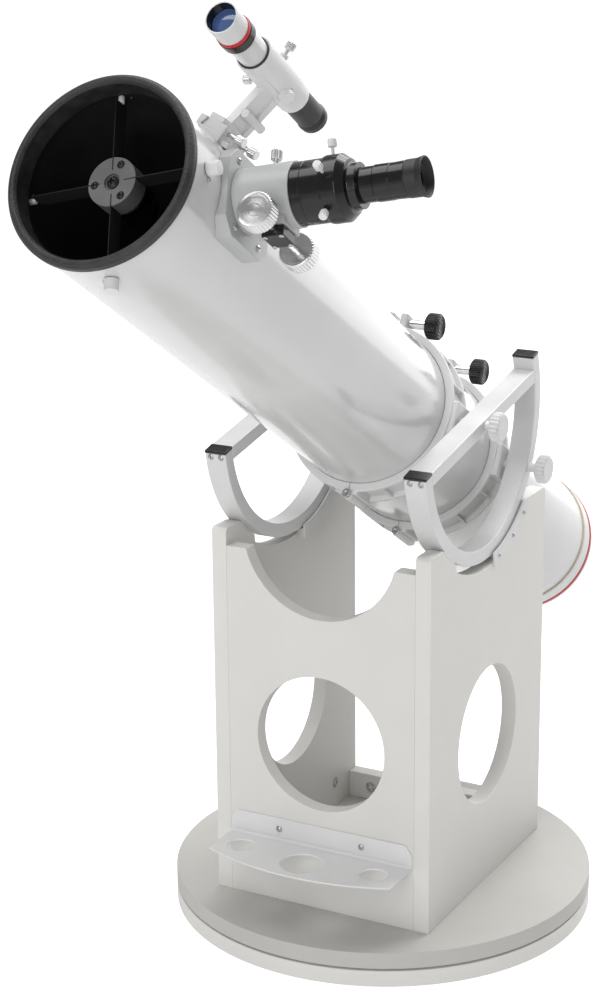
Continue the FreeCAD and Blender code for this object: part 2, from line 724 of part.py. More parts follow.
def ring_half(name, side, reach):
    """One half of a hinged cradle ring with its side pad, ear and hinge knuckles."""
    frame = TUBE.multiply(Placement(Vector(0, 0, reach), Rotation()))
    shell = revolved(name + "_shell", ring_profile(), frame)
    width = float(G.ring_width)
    half_space = block((140, 300, width + 10), (side * (70 + 0.4), 0, 0), frame)
    pad_inner = float(G.tube_radius) + 1
    pad_length = float(G.arc_inset) - pad_inner
    flat = pad_length - BOSS_HEIGHT
    side_pad = block((flat, 40, width - 4), (side * (pad_inner + flat / 2), 0, 0), frame)
    boss = cylinder(BOSS_RADIUS, pad_length, (side * pad_inner, 0, 0), X_AXIS * side, frame)
    ear_height = 28
    ear = block((EAR_THICK, ear_height, 20), (
        side * (EAR_GAP + EAR_THICK / 2), float(G.clamp_offset) - 4, 0), frame)
    webs = [block((3, 7, width - 4), polar(float(G.tube_radius) + 4.6, angle, 0), frame,
                  Rotation(Z_AXIS, angle + 90)) for angle in web_angles(side)]
    lug = block((9, 12, width - 2), (side * 6.5, -float(G.hinge_offset) + 6, 0), frame)
    knuckles = []
    for low, high in ((-21.5, -8), (8, 21.5)) if side > 0 else ((-7.6, 7.6),):
        knuckles.append(cylinder(HINGE_RADIUS, high - low, (0, -G.hinge_offset, low), Z_AXIS, frame))
    solid = fuse(common(shell, half_space), side_pad, boss, ear, lug, *(webs + knuckles))
    gaps = [(-7.9, 7.9)] if side > 0 else [(-22.5, -7.7), (7.7, 22.5)]
    tools = [cylinder(HINGE_RADIUS + 0.4, high - low, (0, -G.hinge_offset, low), Z_AXIS, frame)
             for low, high in gaps]
    tools.append(cylinder(G.tube_radius + 0.35, width + 10, (0, 0, -width / 2 - 5), Z_AXIS, frame))
    tools.append(cylinder(3.1, 80, (0, -G.hinge_offset, -40), Z_AXIS, frame))
    tools.append(cylinder(STUD_RADIUS + 0.05, 60, (-30, G.clamp_offset, 0), X_AXIS, frame))
    stud_start = side * (float(G.tube_radius) + 2)
    tools.append(cylinder(STUD_RADIUS + 0.05, 30, (stud_start, 0, 0), X_AXIS * side, frame))
    node(name, cut(solid, *tools))


def web_angles(side):
    """Angles of the stiffening webs of one ring half."""
    quarter = (24, 48, 62, -24, -48, -68)
    return [angle if side > 0 else 180 - angle for angle in quarter]


def cradle_rings():
    for ring_name, reach in (("front", 0.0), ("rear", -float(G.ring_spacing))):
        for name, side in SIDES:
            ring_half("%s_ring_%s" % (ring_name, name), side, reach)
    bolts = []
    for reach in (0.0, -float(G.ring_spacing)):
        low = -G.hinge_offset
        bolts.append(fuse(cylinder(5, 5, (0, low, reach + 21.6), Z_AXIS, TUBE),
                          cylinder(3, 52, (0, low, reach - 30), Z_AXIS, TUBE)))
    return bolts


def clamp_knobs():
    """Clamp screws over the rings: black knob, chromed sleeve and stud."""
    start = EAR_GAP + EAR_THICK
    for name, reach in (("front", 0.0), ("rear", -float(G.ring_spacing))):
        up = G.clamp_offset
        sleeve = cylinder(5.7, 25, (start, up, reach), X_AXIS, TUBE)
        knob = fluted(G.knob_radius, 16, (start + 24.2, up, reach), X_AXIS, TUBE, 16, 1.2)
        stud = cylinder(3, 38, (start + 5 - 38, up, reach), X_AXIS, TUBE)
        node("clamp_knob_" + name, fuse(sleeve, knob, stud))


# ---------------------------------------------------------------- tube
RED_BAND = (11, 6)
RIM_LENGTH = 12
CELL_CIRCLE = 58
SPIDER_KNOB_RADIUS = 7


def spider_angles():
    return [float(G.spider_turn) + 90 * quarter for quarter in range(4)]


def main_tube():
    """The tube with the openings for focuser and spider knobs."""
    rear = -(G.rear_reach - G.rear_ring_length)
    front = float(G.front_reach) - 1.5
    inner = G.tube_radius - G.tube_wall
    body = revolved("main_tube", [(inner, rear), (G.tube_radius, rear),
                                  (G.tube_radius, G.front_reach - 1.5),
                                  (inner, G.front_reach - 1.5)])
    tools = [cylinder(G.draw_radius + 2.5, 40, (0, 0, 75), Z_AXIS, FOCUSER)]
    for angle in spider_angles():
        tools.append(cylinder(3.1, 20, (0, 0, 80), Z_AXIS, around_tube(angle, G.spider_reach)))
    node("main_tube", cut(body, *tools))


def front_rim():
    """Black plastic rim that caps the tube's front edge."""
    front = G.front_reach
    lip = front - RIM_LENGTH
    body = revolved("front_rim", [
        (G.tube_radius + 0.05, lip), (G.rim_radius, lip), (G.rim_radius, front - 4),
        (G.rim_radius - 3, front), (G.rim_radius - 7.5, front), (G.rim_radius - 9.5, front - 3),
        (G.rim_radius - 9.5, lip - 12), (G.tube_radius - G.tube_wall - 0.05, lip - 12),
        (G.tube_radius - G.tube_wall - 0.05, front - 1.4), (G.tube_radius + 0.05, front - 1.4)])
    body.Label = "front_rim"
    NODES.append(body)


def rear_ring():
    """White rear ring with the groove for the red band."""
    end = -G.rear_reach
    start = end + G.rear_ring_length
    band_low = end + RED_BAND[0]
    band_high = band_low + RED_BAND[1]
    bore = G.tube_radius - 8.5
    body = revolved("rear_ring", [
        (bore, end), (bore, start + 14),
        (G.tube_radius - G.tube_wall - 0.05, start + 14),
        (G.tube_radius - G.tube_wall - 0.05, start - 0.05), (G.rear_radius, start - 0.05),
        (G.rear_radius, band_high), (G.rear_radius - 1.5, band_high),
        (G.rear_radius - 1.5, band_low), (G.rear_radius, band_low), (G.rear_radius, end + 6),
        (G.rear_radius - 4.5, end)])
    body.Label = "rear_ring"
    NODES.append(body)
    band = revolved("red_band", [
        (G.rear_radius - 1.45, band_low + 0.05), (G.rear_radius + 0.5, band_low + 0.05),
        (G.rear_radius + 0.5, band_high - 0.05), (G.rear_radius - 1.45, band_high - 0.05)])
    band.Label = "red_band"
    NODES.append(band)


def mirror_cell():
    """Main mirror on its cell plate, the back plate, three collimation and three lock screws."""
    back = -float(G.rear_reach)
    back_plate = ring(G.tube_radius - 8.55, 28, 4, (0, 0, back + 22), Z_AXIS, TUBE)
    openings = [cylinder(3.2, 12, polar(CELL_CIRCLE, 60 * index + 30, back + 18), Z_AXIS, TUBE)
                for index in range(6)]
    openings += [cylinder(9, 12, polar(CELL_CIRCLE, 60 * index, back + 18), Z_AXIS, TUBE)
                 for index in range(6)]
    plate = cylinder(80, 6, (0, 0, back + 44), Z_AXIS, TUBE)
    clips = [block((6, 12, 30), polar(79.5, angle, back + 60), TUBE, Rotation(Z_AXIS, angle))
             for angle in (90, 210, 330)]
    holes = [cylinder(3.2, 12, polar(CELL_CIRCLE, 60 * index + 30, back + 40), Z_AXIS, TUBE)
             for index in (0, 2, 4)]
    rim = cylinder(G.mirror_radius + 0.3, 60, (0, 0, back + 50), Z_AXIS, TUBE)
    node("mirror_cell", group(cut(fuse(plate, *clips), rim, *holes), cut(back_plate, *openings)))
    node("primary_mirror", cylinder(G.mirror_radius, G.mirror_thick, (0, 0, back + 50), Z_AXIS, TUBE))
    knobs = []
    for index in (0, 2, 4):
        spot = polar(CELL_CIRCLE, 60 * index + 30, back + 8)
        head = fluted(8, 10, spot, Z_AXIS, TUBE, 12, 1.0)
        knobs.append(fuse(head, cylinder(3, 41, (spot[0], spot[1], back + 9), Z_AXIS, TUBE)))
    for index in (1, 3, 5):
        spot = polar(CELL_CIRCLE, 60 * index + 30, back + 14)
        head = cylinder(5, 7.9, spot, Z_AXIS, TUBE)
        knobs.append(fuse(head, cylinder(3, 29, (spot[0], spot[1], back + 15), Z_AXIS, TUBE)))
    node("cell_screws", group(*knobs))


def spider():
    """Four thin vanes, their hub and the knobs outside the tube that pull them tight."""
    vanes = []
    knobs = []
    for angle in spider_angles():
        frame = around_tube(angle, G.spider_reach)
        inner = float(G.hub_radius) - 3
        outer = float(G.tube_radius) - 8
        vane = block((20, 0.8, outer - inner), (0, 0, (inner + outer) / 2), frame)
        vanes.append(vane)
        tip = cylinder(3, 19, (0, 0, float(G.tube_radius) - 8), Z_AXIS, frame)
        root = cut(tip, block((30, 0.9, 8), (0, 0, float(G.tube_radius) - 8), frame))
        head = cylinder(SPIDER_KNOB_RADIUS, 12, (0, 0, float(G.tube_radius) + 1), Z_AXIS, frame)
        knobs.append(fuse(root, head))
    node("spider_knobs", group(*knobs))
    low = G.spider_reach - G.hub_length / 2
    hub = cylinder(G.hub_radius, G.hub_length, (0, 0, low), Z_AXIS, TUBE)
    slits = [block((21, 0.9, 30), (0, 0, 27), around_tube(angle, G.spider_reach))
             for angle in spider_angles()]
    top = float(G.spider_reach + G.hub_length / 2)
    wells = [cylinder(3.9, 3, hub_screw_spot(index, top - 2), Z_AXIS, TUBE) for index in range(3)]
    bores = [cylinder(2.1, 40, hub_screw_spot(index, top - 30), Z_AXIS, TUBE) for index in range(3)]
    middle = [cylinder(8, 4, (0, 0, top - 3), Z_AXIS, TUBE),
              cylinder(4.1, 40, (0, 0, top - 30), Z_AXIS, TUBE)]
    node("spider_hub", cut(hub, *(slits + wells + bores + middle)))
    node("spider_vanes", group(*vanes))
    screws = [screw(TUBE, hub_screw_spot(index, top - 2), Z_AXIS, 3.6, 3.2, 2, 20.5)
              for index in range(3)]
    screws.append(screw(TUBE, (0, 0, top - 3), Z_AXIS, 6, 4, 4, 19))
    return screws


def hub_screw_spot(index, level):
    """The three tilt screws of the diagonal stand on a circle of their own."""
    return polar(18, 90 - 14 - 120 * index, level)


def diagonal():
    """Diagonal mirror at 45 degrees under the focuser, glued to its holder."""
    slope = Rotation(Y_AXIS, -45)
    radius = G.diagonal_radius
    far = 200
    glass = 6
    rod = cylinder(radius, 80, (-40, 0, 0), X_AXIS, FOCUSER)
    slab = block((far, far, glass), (0, 0, -glass / 2), FOCUSER.multiply(Placement(Vector(), slope)))
    node("secondary_mirror", common(rod, slab))
    reach = float(G.spider_reach - G.hub_length / 2 - G.focuser_reach)
    stem = cylinder(radius - 0.5, reach - 7, (0, 0, 0), X_AXIS, FOCUSER)
    back = cylinder(radius - 0.5, 30, (-30, 0, 0), X_AXIS, FOCUSER)
    keep_off = block((far, far, far), (0, 0, far / 2 - glass - 0.05),
                     FOCUSER.multiply(Placement(Vector(), slope)))
    plate = cylinder(23, 4, (reach - 7, 0, 0), X_AXIS, FOCUSER)
    well = cylinder(4.05, 30, (reach - 20, 0, 0), X_AXIS, FOCUSER)
    node("secondary_holder", cut(fuse(stem, back, plate), keep_off, well))


# ---------------------------------------------------------------- focuser
PLATE_SHIFT = -7
BASE_CHAMFER = 15
BASE_SCREWS = 25


def base_screw_spots(level):
    return [(PLATE_SHIFT + x * BASE_SCREWS, y * 33, level) for x in (-1, 1) for y in (-1, 1)]


def focuser_base():
    """Eight-sided base plate with a saddle that fits the tube."""
    body = new_body("focuser_base", FOCUSER.multiply(Placement(Vector(PLATE_SHIFT, 0, 76), Rotation())))
    far = G.base_length / 2
    wide = G.base_width / 2
    corner = BASE_CHAMFER
    pad(body, outline(new_sketch(body, "XY_Plane"), [
        (far, corner - wide), (far, wide - corner), (far - corner, wide), (corner - far, wide),
        (-far, wide - corner), (-far, corner - wide), (corner - far, -wide),
        (far - corner, -wide)]), G.base_top - 76)
    saddle = cylinder(G.tube_radius + 0.05, 200, (0, 0, G.focuser_reach - 100), Z_AXIS, TUBE)
    bore = cylinder(G.draw_radius + 0.4, 60, (0, 0, 60), Z_AXIS, FOCUSER)
    holes = [cylinder(1.85, 30, spot, Z_AXIS, FOCUSER) for spot in base_screw_spots(75)]
    node("focuser_base", cut(body, saddle, bore, *holes))


def focuser_housing():
    """Round housing with the block that carries the pinion."""
    low = G.base_top
    length = G.housing_top - G.base_top
    barrel = cylinder(G.housing_radius, length, (0, 0, low), Z_AXIS, FOCUSER)
    saddle = block((34, 14, 40), (0, 27, 128), FOCUSER)
    shaft = cylinder(4.1, 120, (-60, G.pinion_side, G.pinion_out), X_AXIS, FOCUSER)
    bore = cylinder(G.draw_radius + 0.3, 100, (0, 0, 80), Z_AXIS, FOCUSER)
    lock = cylinder(2.55, 30, (0, -20, G.lock_level), Y_AXIS * -1, FOCUSER)
    gear_well = block((14, 14, 20), (0, 30, G.pinion_out), FOCUSER)
    node("focuser_housing", cut(fuse(barrel, saddle), bore, shaft, lock, gear_well))


def pinion_parts():
    """Shaft with its gear, the two focus knobs, the pinion cover and its screws."""
    side = G.pinion_side
    out = G.pinion_out
    reach = float(G.focus_knob_reach)
    width = float(G.focus_knob_width)
    shaft = cylinder(4, 2 * G.focus_knob_reach - 6, (3 - reach, side, out), X_AXIS, FOCUSER)
    gear = fluted(6.2, 12, (-6, float(side), float(out)), X_AXIS, FOCUSER, 14, 1.0)
    knobs = [fuse(shaft, gear)]
    for end in (-1, 1):
        knob = fluted(G.focus_knob_radius, width, (end * (reach - width), float(side), float(out)),
                      X_AXIS * end, FOCUSER, 30, 1.0)
        dish = cylinder(G.focus_knob_radius - 2, 1.5, (end * (reach - 1), side, out), X_AXIS * end, FOCUSER)
        bore = cylinder(4.0, width - 1, (end * (reach - width - 1), side, out), X_AXIS * end, FOCUSER)
        knobs.append(cut(knob, dish, bore))
    node("focus_knobs", group(*knobs))
    cover = block((27, 12, 22), (0, float(side) + 2.5, out), FOCUSER)
    saddle = block((35, 14.1, 41), (0, 27, 128), FOCUSER)
    shaft_bore = cylinder(4.1, 80, (-40, side, out), X_AXIS, FOCUSER)
    gear_well = block((14, 15, 16), (0, float(side), out), FOCUSER)
    node("pinion_cover", cut(cover, saddle, shaft_bore, gear_well))


def focuser_screws():
    """Screws of the base plate and the pinion cover."""
    heads = [screw(FOCUSER, spot, Z_AXIS, 3.4, 2, 1.8, 9)
             for spot in base_screw_spots(float(G.base_top))]
    top = float(G.pinion_side) + 8.5
    for x in (-10.5, 10.5):
        for z in (-8, 8):
            heads.append(cylinder(2.4, 1.4, (x, top, G.pinion_out + z), Y_AXIS, FOCUSER))
    level = G.lock_level
    lock = fuse(cylinder(2.5, 17, (0, -28.6, level), Y_AXIS * -1, FOCUSER),
                fluted(5.5, 10, (0, -38.0, level), Y_AXIS * -1, FOCUSER, 12, 0.8))
    node("focus_lock_screw", lock)
    return heads


ADAPTER_SCREWS = ((200, 190, 38), (265, 190, 38), (330, 188, 34.5))


def adapter_axis(angle):
    """Direction of a thumbscrew square to the focuser axis, turned from +y towards -x."""
    turn = math.radians(angle)
    return Vector(-math.sin(turn), math.cos(turn), 0)


def drawtube():
    """Drawtube with its rack, and the adapters and thumbscrews that ride on it."""
    low = 84
    top = G.draw_top
    outer = G.draw_radius
    node("drawtube", ring(outer, outer - 2.5, top - low, (0, 0, low), Z_AXIS, FOCUSER))
    end = G.adapter_top
    body = revolved("eyepiece_adapter", [
        (outer + 0.05, G.housing_top + 0.4), (outer + 1.6, G.housing_top + 0.4),
        (outer + 1.6, top + 8), (31, top + 8.4), (31.5, end - 15), (26, end - 8), (21.5, end - 7),
        (21.5, end), (16.3, end), (16.3, top + 0.1), (outer + 0.05, top + 0.1)], FOCUSER)
    holes = [cylinder(1.6, 30, adapter_axis(angle) * 15 + Vector(0, 0, level),
                      adapter_axis(angle), FOCUSER) for angle, level, _ in ADAPTER_SCREWS]
    node("eyepiece_adapter", cut(body, *holes))
    screws = []
    for angle, level, reach in ADAPTER_SCREWS:
        axis = adapter_axis(angle)
        start = axis * 22.5 + Vector(0, 0, level)
        head = axis * reach + Vector(0, 0, level)
        screws.append(fuse(cylinder(1.5, reach - 20.5, start, axis, FOCUSER),
                           fluted(4.2, 8, head, axis, FOCUSER, 12, 0.6)))
    node("adapter_screws", group(*screws))


def eyepiece():
    """Eyepiece with its barrel in the adapter, and the rubber eyecup."""
    foot = G.eyepiece_foot
    radius = G.eyepiece_radius
    body = revolved("eyepiece_body", [
        (13.5, foot - 30), (15.9, foot - 30), (15.9, foot), (radius, foot + 1.5),
        (radius, foot + 14), (radius + 0.7, foot + 15), (radius + 0.7, foot + 29),
        (radius + 0.3, foot + 30), (radius + 0.9, foot + 44),
        (11, foot + 44), (11, foot + 20), (13.5, foot + 10)], FOCUSER)
    body.Label = "eyepiece_body"
    NODES.append(body)
    top = G.eyepiece_top
    cup = revolved("eyecup", [
        (12, foot + 44.05), (radius + 1.0, foot + 44.05), (radius + 1.0, top - 5),
        (19, top), (17.6, top), (14.5, top - 7), (12, top - 9)], FOCUSER)
    cup.Label = "eyecup"
    NODES.append(cup)
    node("eye_lens", cylinder(11.5, 3, (0, 0, foot + 44.1), Z_AXIS, FOCUSER))


# ---------------------------------------------------------------- finder
SHOE_LENGTH = 46
SHOE_MIDDLE = 541
SHOE_TOP = 109
SHOE_SCREWS = (-13.5, 13.5)
STEM_MIDDLE = 523
ADJUSTERS = ((0, 529), (245, 518))
SPRING = (120, 513.5)


def finder_shoe():
    """Shoe with a dovetail slot, and the two thumbscrews that hold the bracket's foot."""
    base = block((SHOE_LENGTH, 34, 20), (SHOE_MIDDLE, 0, SHOE_TOP - 10), FINDER)
    feet = block((SHOE_LENGTH - 6, 56, 6), (SHOE_MIDDLE, 0, 93), FINDER)
    body = new_body("shoe_slot", FINDER.multiply(
        Placement(Vector(SHOE_MIDDLE + 100, 0, 0), Rotation(X_AXIS * -1, Y_AXIS, Z_AXIS, "ZXY"))))
    pad(body, outline(new_sketch(body, "YZ_Plane"), dovetail(0.15, 0.2)), 200)
    saddle = cylinder(G.tube_radius + 0.05, 400, (SHOE_MIDDLE - 200, 0, 0), X_AXIS, FINDER)
    holes = [cylinder(2.05, 20, (SHOE_MIDDLE + x, 5, 104), Y_AXIS, FINDER) for x in SHOE_SCREWS]
    node("finder_shoe", cut(fuse(base, feet), body, saddle, *holes))
    screws = []
    for x in SHOE_SCREWS:
        spot = (SHOE_MIDDLE + x, 12.2, 104)
        head = fluted(5, 10, (SHOE_MIDDLE + x, 27.5, 104), Y_AXIS, FINDER, 14, 0.7)
        screws.append(fuse(cylinder(2, 16, spot, Y_AXIS, FINDER), head))
    return screws


def dovetail(gap, lift):
    """Section of the dovetail foot, or of its slot with a gap all round."""
    low = 99.5 - lift
    top = SHOE_TOP + (2 if lift else 0)
    return [(-11.5 - gap, low), (11.5 + gap, low), (7.5 + gap, top), (-7.5 - gap, top)]


def finder_bracket():
    """Cast bracket: dovetail foot, flat stem with a round boss, and the finder holder."""
    offset = G.finder_offset
    foot = new_body("bracket_foot", FINDER.multiply(Placement(
        Vector(SHOE_MIDDLE + 21, 0, 0), Rotation(X_AXIS * -1, Y_AXIS, Z_AXIS, "ZXY"))))
    pad(foot, outline(new_sketch(foot, "YZ_Plane"), dovetail(0, 0)), 42)
    base = block((44, 17, 6), (SHOE_MIDDLE - 1, 0, SHOE_TOP + 3.4), FINDER)
    neck = block((44, 13, 3), (SHOE_MIDDLE - 1, 0, SHOE_TOP), FINDER)
    lean = Rotation(Y_AXIS, -14)
    stem = block((26, 9, 62), (STEM_MIDDLE + 3, 0, 138), FINDER, lean)
    rib = block((7, 14, 58), (STEM_MIDDLE - 10, 0, 138), FINDER, lean)
    boss = cylinder(4.5, 36, (STEM_MIDDLE - 18, 8.2, 132), X_AXIS, FINDER)
    low = G.holder_rear
    high = G.holder_front
    shoulder = low + 26
    holder = fuse(cylinder(G.holder_radius, high - shoulder, (shoulder, 0, offset), X_AXIS, FINDER),
                  cone(16.6, G.holder_radius, 26, (low, 0, offset), X_AXIS, FINDER))
    lugs = []
    for angle, reach in ADJUSTERS:
        lugs.append(cylinder(4.5, 6.5, lug_axis(angle) * 15.5 + Vector(reach, 0, float(offset)),
                             lug_axis(angle), FINDER))
    spring = lug_axis(SPRING[0])
    lugs.append(cylinder(8, 7.5, spring * 15.5 + Vector(SPRING[1], 0, float(offset)), spring, FINDER))
    tools = [cylinder(G.finder_radius + 0.15, 200, (low - 20, 0, offset), X_AXIS, FINDER)]
    for angle, reach in ADJUSTERS:
        tools.append(cylinder(2.05, 20, lug_axis(angle) * 10 + Vector(reach, 0, float(offset)),
                              lug_axis(angle), FINDER))
    node("finder_bracket", cut(fuse(foot, neck, base, stem, rib, boss, holder, *lugs), *tools))
    screws = []
    for angle, reach in ADJUSTERS:
        axis = lug_axis(angle)
        centre = Vector(reach, 0, float(offset))
        screws.append(fuse(cylinder(2, 16, axis * (float(G.finder_radius) + 0.1) + centre, axis, FINDER),
                           fluted(5, 8, axis * 27.5 + centre, axis, FINDER, 14, 0.7)))
    return screws


def lug_axis(angle):
    """Direction of an adjusting screw square to the finder, from straight out."""
    turn = math.radians(angle)
    return Vector(0, math.sin(turn), math.cos(turn))


def finder_scope():
    """The small finder telescope: tube, dew shield, objective and eye end."""
    frame = FINDER.multiply(Placement(Vector(0, 0, float(G.finder_offset)),
                                      Rotation(Z_AXIS * -1, Y_AXIS, X_AXIS, "ZXY")))
    front = G.finder_front
    tube = G.finder_radius
    rear = G.finder_rear
    holder = G.holder_rear
    body = revolved("finder_tube", [
        (13.6, holder), (tube, holder), (tube, front - 38), (tube + 2.6, front - 38),
        (tube + 2.6, front - 28), (13.6, front - 28)], frame)
    body.Label = "finder_tube"
    NODES.append(body)
    shield = revolved("dew_shield", [
        (13.4, front - 27.9), (tube + 2.1, front - 27.9), (tube + 2.1, front - 23.5),
        (tube + 1.2, front - 23.5), (tube + 1.2, front), (tube - 0.4, front),
        (tube - 0.4, front - 14), (13.4, front - 14)], frame)
    shield.Label = "dew_shield"
    NODES.append(shield)
    node("finder_lens", cylinder(tube - 0.6, 5, (0, 0, front - 13.9), Z_AXIS, frame))
    eye = revolved("finder_eyepiece", [
        (8, rear + 6), (12, rear), (tube - 0.2, rear), (tube + 0.4, rear + 8),
        (tube - 0.6, rear + 12), (tube - 0.6, holder - 0.1), (13.4, holder - 0.1),
        (13.4, holder + 20), (8, holder + 20)], frame)
    eye.Label = "finder_eyepiece"
    NODES.append(eye)


# ---------------------------------------------------------------- build and write
def build():
    make_base()
    for name, side in SIDES:
        side_board("side_board_" + name, side)
    front_board()
    rear_brace()
    cam_fittings()
    node("box_screws", group(*(eyepiece_tray() + bearing_guides())))
    for name, side in SIDES:
        altitude_arc("altitude_arc_" + name, side)
    cross_bars()
    end_caps()
    clamp_knobs()
    bearing_knobs()
    main_tube()
    front_rim()
    rear_ring()
    mirror_cell()
    small_screws = bar_screws() + cradle_rings() + spider()
    diagonal()
    focuser_base()
    focuser_housing()
    pinion_parts()
    node("small_screws", group(*(small_screws + focuser_screws())))
    drawtube()
    eyepiece()
    node("shoe_screws", group(*finder_shoe()))
    node("finder_adjusters", group(*finder_bracket()))
    finder_scope()
    DOC.recompute()


def check():
    """Stops when any object failed or any sub-part is empty or invalid."""
    for obj in DOC.Objects:
        if "Invalid" in obj.State or "Error" in obj.State:
            raise RuntimeError("%s (%s) failed: %s" % (obj.Name, obj.Label, obj.State))
    for obj in NODES:
        if obj.Shape.isNull() or not obj.Shape.isValid() or not obj.Shape.Solids:
            raise RuntimeError(obj.Label + " has no valid solid")


def write():
    os.makedirs("parts", exist_ok=True)
    for obj in NODES:
        obj.Shape.exportStep("parts/%s.step" % obj.Label)
    print(len(NODES), "sub-parts written")


build()
check()
write()
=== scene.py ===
# %% [markdown]
# # A Dobsonian telescope, dressed for the studio
# The frame is the CAD part: bodies, joints and collision come from it. This lesson puts
# detailed pieces and finishes around it, one step at a time, and never moves the frame itself.

# %% Load the frame
import json
import math

import bmesh
import bpy
from mathutils import Matrix, Vector

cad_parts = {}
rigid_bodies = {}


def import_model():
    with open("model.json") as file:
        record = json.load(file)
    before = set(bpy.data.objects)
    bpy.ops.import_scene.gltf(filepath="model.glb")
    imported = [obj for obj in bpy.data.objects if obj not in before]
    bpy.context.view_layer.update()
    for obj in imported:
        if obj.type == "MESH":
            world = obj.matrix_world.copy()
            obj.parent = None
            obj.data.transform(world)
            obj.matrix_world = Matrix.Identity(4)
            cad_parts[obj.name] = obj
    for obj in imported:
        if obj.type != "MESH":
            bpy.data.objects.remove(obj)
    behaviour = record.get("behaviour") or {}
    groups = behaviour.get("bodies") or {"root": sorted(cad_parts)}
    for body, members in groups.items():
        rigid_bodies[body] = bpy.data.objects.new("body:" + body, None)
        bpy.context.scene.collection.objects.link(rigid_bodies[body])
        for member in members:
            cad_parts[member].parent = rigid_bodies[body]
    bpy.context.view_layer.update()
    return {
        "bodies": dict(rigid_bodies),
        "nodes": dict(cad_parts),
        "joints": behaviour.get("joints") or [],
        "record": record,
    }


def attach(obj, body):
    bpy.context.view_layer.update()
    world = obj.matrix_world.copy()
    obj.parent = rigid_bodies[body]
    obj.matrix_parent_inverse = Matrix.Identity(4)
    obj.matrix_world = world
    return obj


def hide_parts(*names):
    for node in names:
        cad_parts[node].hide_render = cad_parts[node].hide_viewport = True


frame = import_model()

# %% [markdown]
# ## Working frames
# A maker measures a telescope along its tube, so the pieces are drawn in the frame they were made in.
# The tube frame has x across, y up from the tube and z towards the open end. A second kind of frame
# stands on the tube wall at some angle round it, for the focuser, the finder and the spider knobs.

# %% Working frames
MM = 0.001
TILT = 32
AXIS = Vector((0, -17, 620.8))
FLOOR_TO_BOX = 52.5


def shift(x, y, z):
    return Matrix.Translation(Vector((x, y, z)) * MM)


def frame_of(origin, x_axis, y_axis, z_axis):
    """A frame from its origin in millimetres and its three directions."""
    turn = Matrix((x_axis, y_axis, z_axis)).transposed().to_4x4()
    return Matrix.Translation(Vector(origin) * MM) @ turn


WORLD = Matrix.Identity(4)
TUBE = Matrix.Translation(AXIS * MM) @ Matrix.Rotation(math.radians(90 - TILT), 4, "X")


def around_tube(angle, reach):
    """x along the tube, z straight out of it at an angle, y round it."""
    turn = math.radians(angle)
    out = (math.sin(turn), math.cos(turn), 0)
    side = (math.cos(turn), -math.sin(turn), 0)
    return TUBE @ frame_of((0, 0, reach), (0, 0, 1), side, out)


def aimed(base, origin, direction, spin=0.0):
    """A frame inside another, at a point, whose z looks along a direction."""
    turn = Vector((0, 0, 1)).rotation_difference(Vector(direction)).to_matrix().to_4x4()
    return base @ shift(*origin) @ turn @ Matrix.Rotation(math.radians(spin), 4, "Z")


FOCUSER = around_tube(78, 563)
FINDER = around_tube(22, 0)
print("tube points up at", TILT, "degrees")

# %% [markdown]
# ## Camera
# The object is seen from a little above the open end, from its right, through a long lens.
# The camera is placed by its own numbers: where it is, which way it looks, and its small roll.

# %% Camera
CAMERA_PLACE = Vector((1.1128, -2.2552, 1.2485))
CAMERA_AZIMUTH = math.radians(28.43)
CAMERA_PITCH = math.radians(16.34)
CAMERA_ROLL = math.radians(0.52)
look = Vector((-math.sin(CAMERA_AZIMUTH) * math.cos(CAMERA_PITCH),
               math.cos(CAMERA_AZIMUTH) * math.cos(CAMERA_PITCH), -math.sin(CAMERA_PITCH)))
camera_data = bpy.data.cameras.new("camera")
camera_data.sensor_fit = "VERTICAL"
camera_data.sensor_height = 36
camera_data.lens = 79.95
camera = bpy.data.objects.new("camera", camera_data)
bpy.context.scene.collection.objects.link(camera)
camera.matrix_world = (Matrix.Translation(CAMERA_PLACE) @ look.to_track_quat("-Z", "Y").to_matrix().to_4x4()
                       @ Matrix.Rotation(-CAMERA_ROLL, 4, "Z"))
bpy.context.scene.camera = camera
print("camera looks", [round(value, 3) for value in look])

# %% [markdown]
# ## Floor and studio light
# White goods on a white ground need a bright setting and only a little light from the room, so that
# every edge keeps its grey. A broad panel overhead and one behind it light whatever faces up, and a
# panel in front lifts the front board. A glossy tube also mirrors what stands behind it at its edge,
# so a wide backdrop panel, which the camera doesn't see, gives it the bright rim of a white studio.
# The room is dimmer for the object than for the eye, which keeps the background white.

# %% Floor and light
FLOOR_HALF = 40
floor_mesh = bpy.data.meshes.new("studio_floor")
floor_mesh.from_pydata([(-FLOOR_HALF, -FLOOR_HALF, 0), (FLOOR_HALF, -FLOOR_HALF, 0),
                        (FLOOR_HALF, FLOOR_HALF, 0), (-FLOOR_HALF, FLOOR_HALF, 0)], [], [(0, 1, 2, 3)])
studio_floor = bpy.data.objects.new("studio_floor", floor_mesh)
bpy.context.scene.collection.objects.link(studio_floor)


def panel(name, place, target, size, power):
    """A rectangular soft box that looks at a target."""
    data = bpy.data.lights.new(name, "AREA")
    data.shape = "RECTANGLE"
    data.size, data.size_y = size
    data.energy = power
    lamp = bpy.data.objects.new(name, data)
    bpy.context.scene.collection.objects.link(lamp)
    direction = Vector(target) - Vector(place)
    lamp.matrix_world = Matrix.Translation(place) @ direction.to_track_quat("-Z", "Y").to_matrix().to_4x4()
    return lamp


panel("overhead_panel", (-0.5, 0.1, 3.4), (-0.1, 0, 0.4), (3.8, 2.2), 74)
panel("back_panel", (0.7, 1.9, 2.7), (0, -0.1, 0.6), (2.4, 2.0), 58)
panel("front_panel_light", (0.5, -3.4, 1.5), (0, 0, 0.3), (1.4, 2.0), 44)
backdrop_panel = panel("backdrop_panel", (0.2, 3.6, 1.2), (0, 0, 0.9), (5.0, 2.6), 52)
backdrop_panel.visible_camera = False

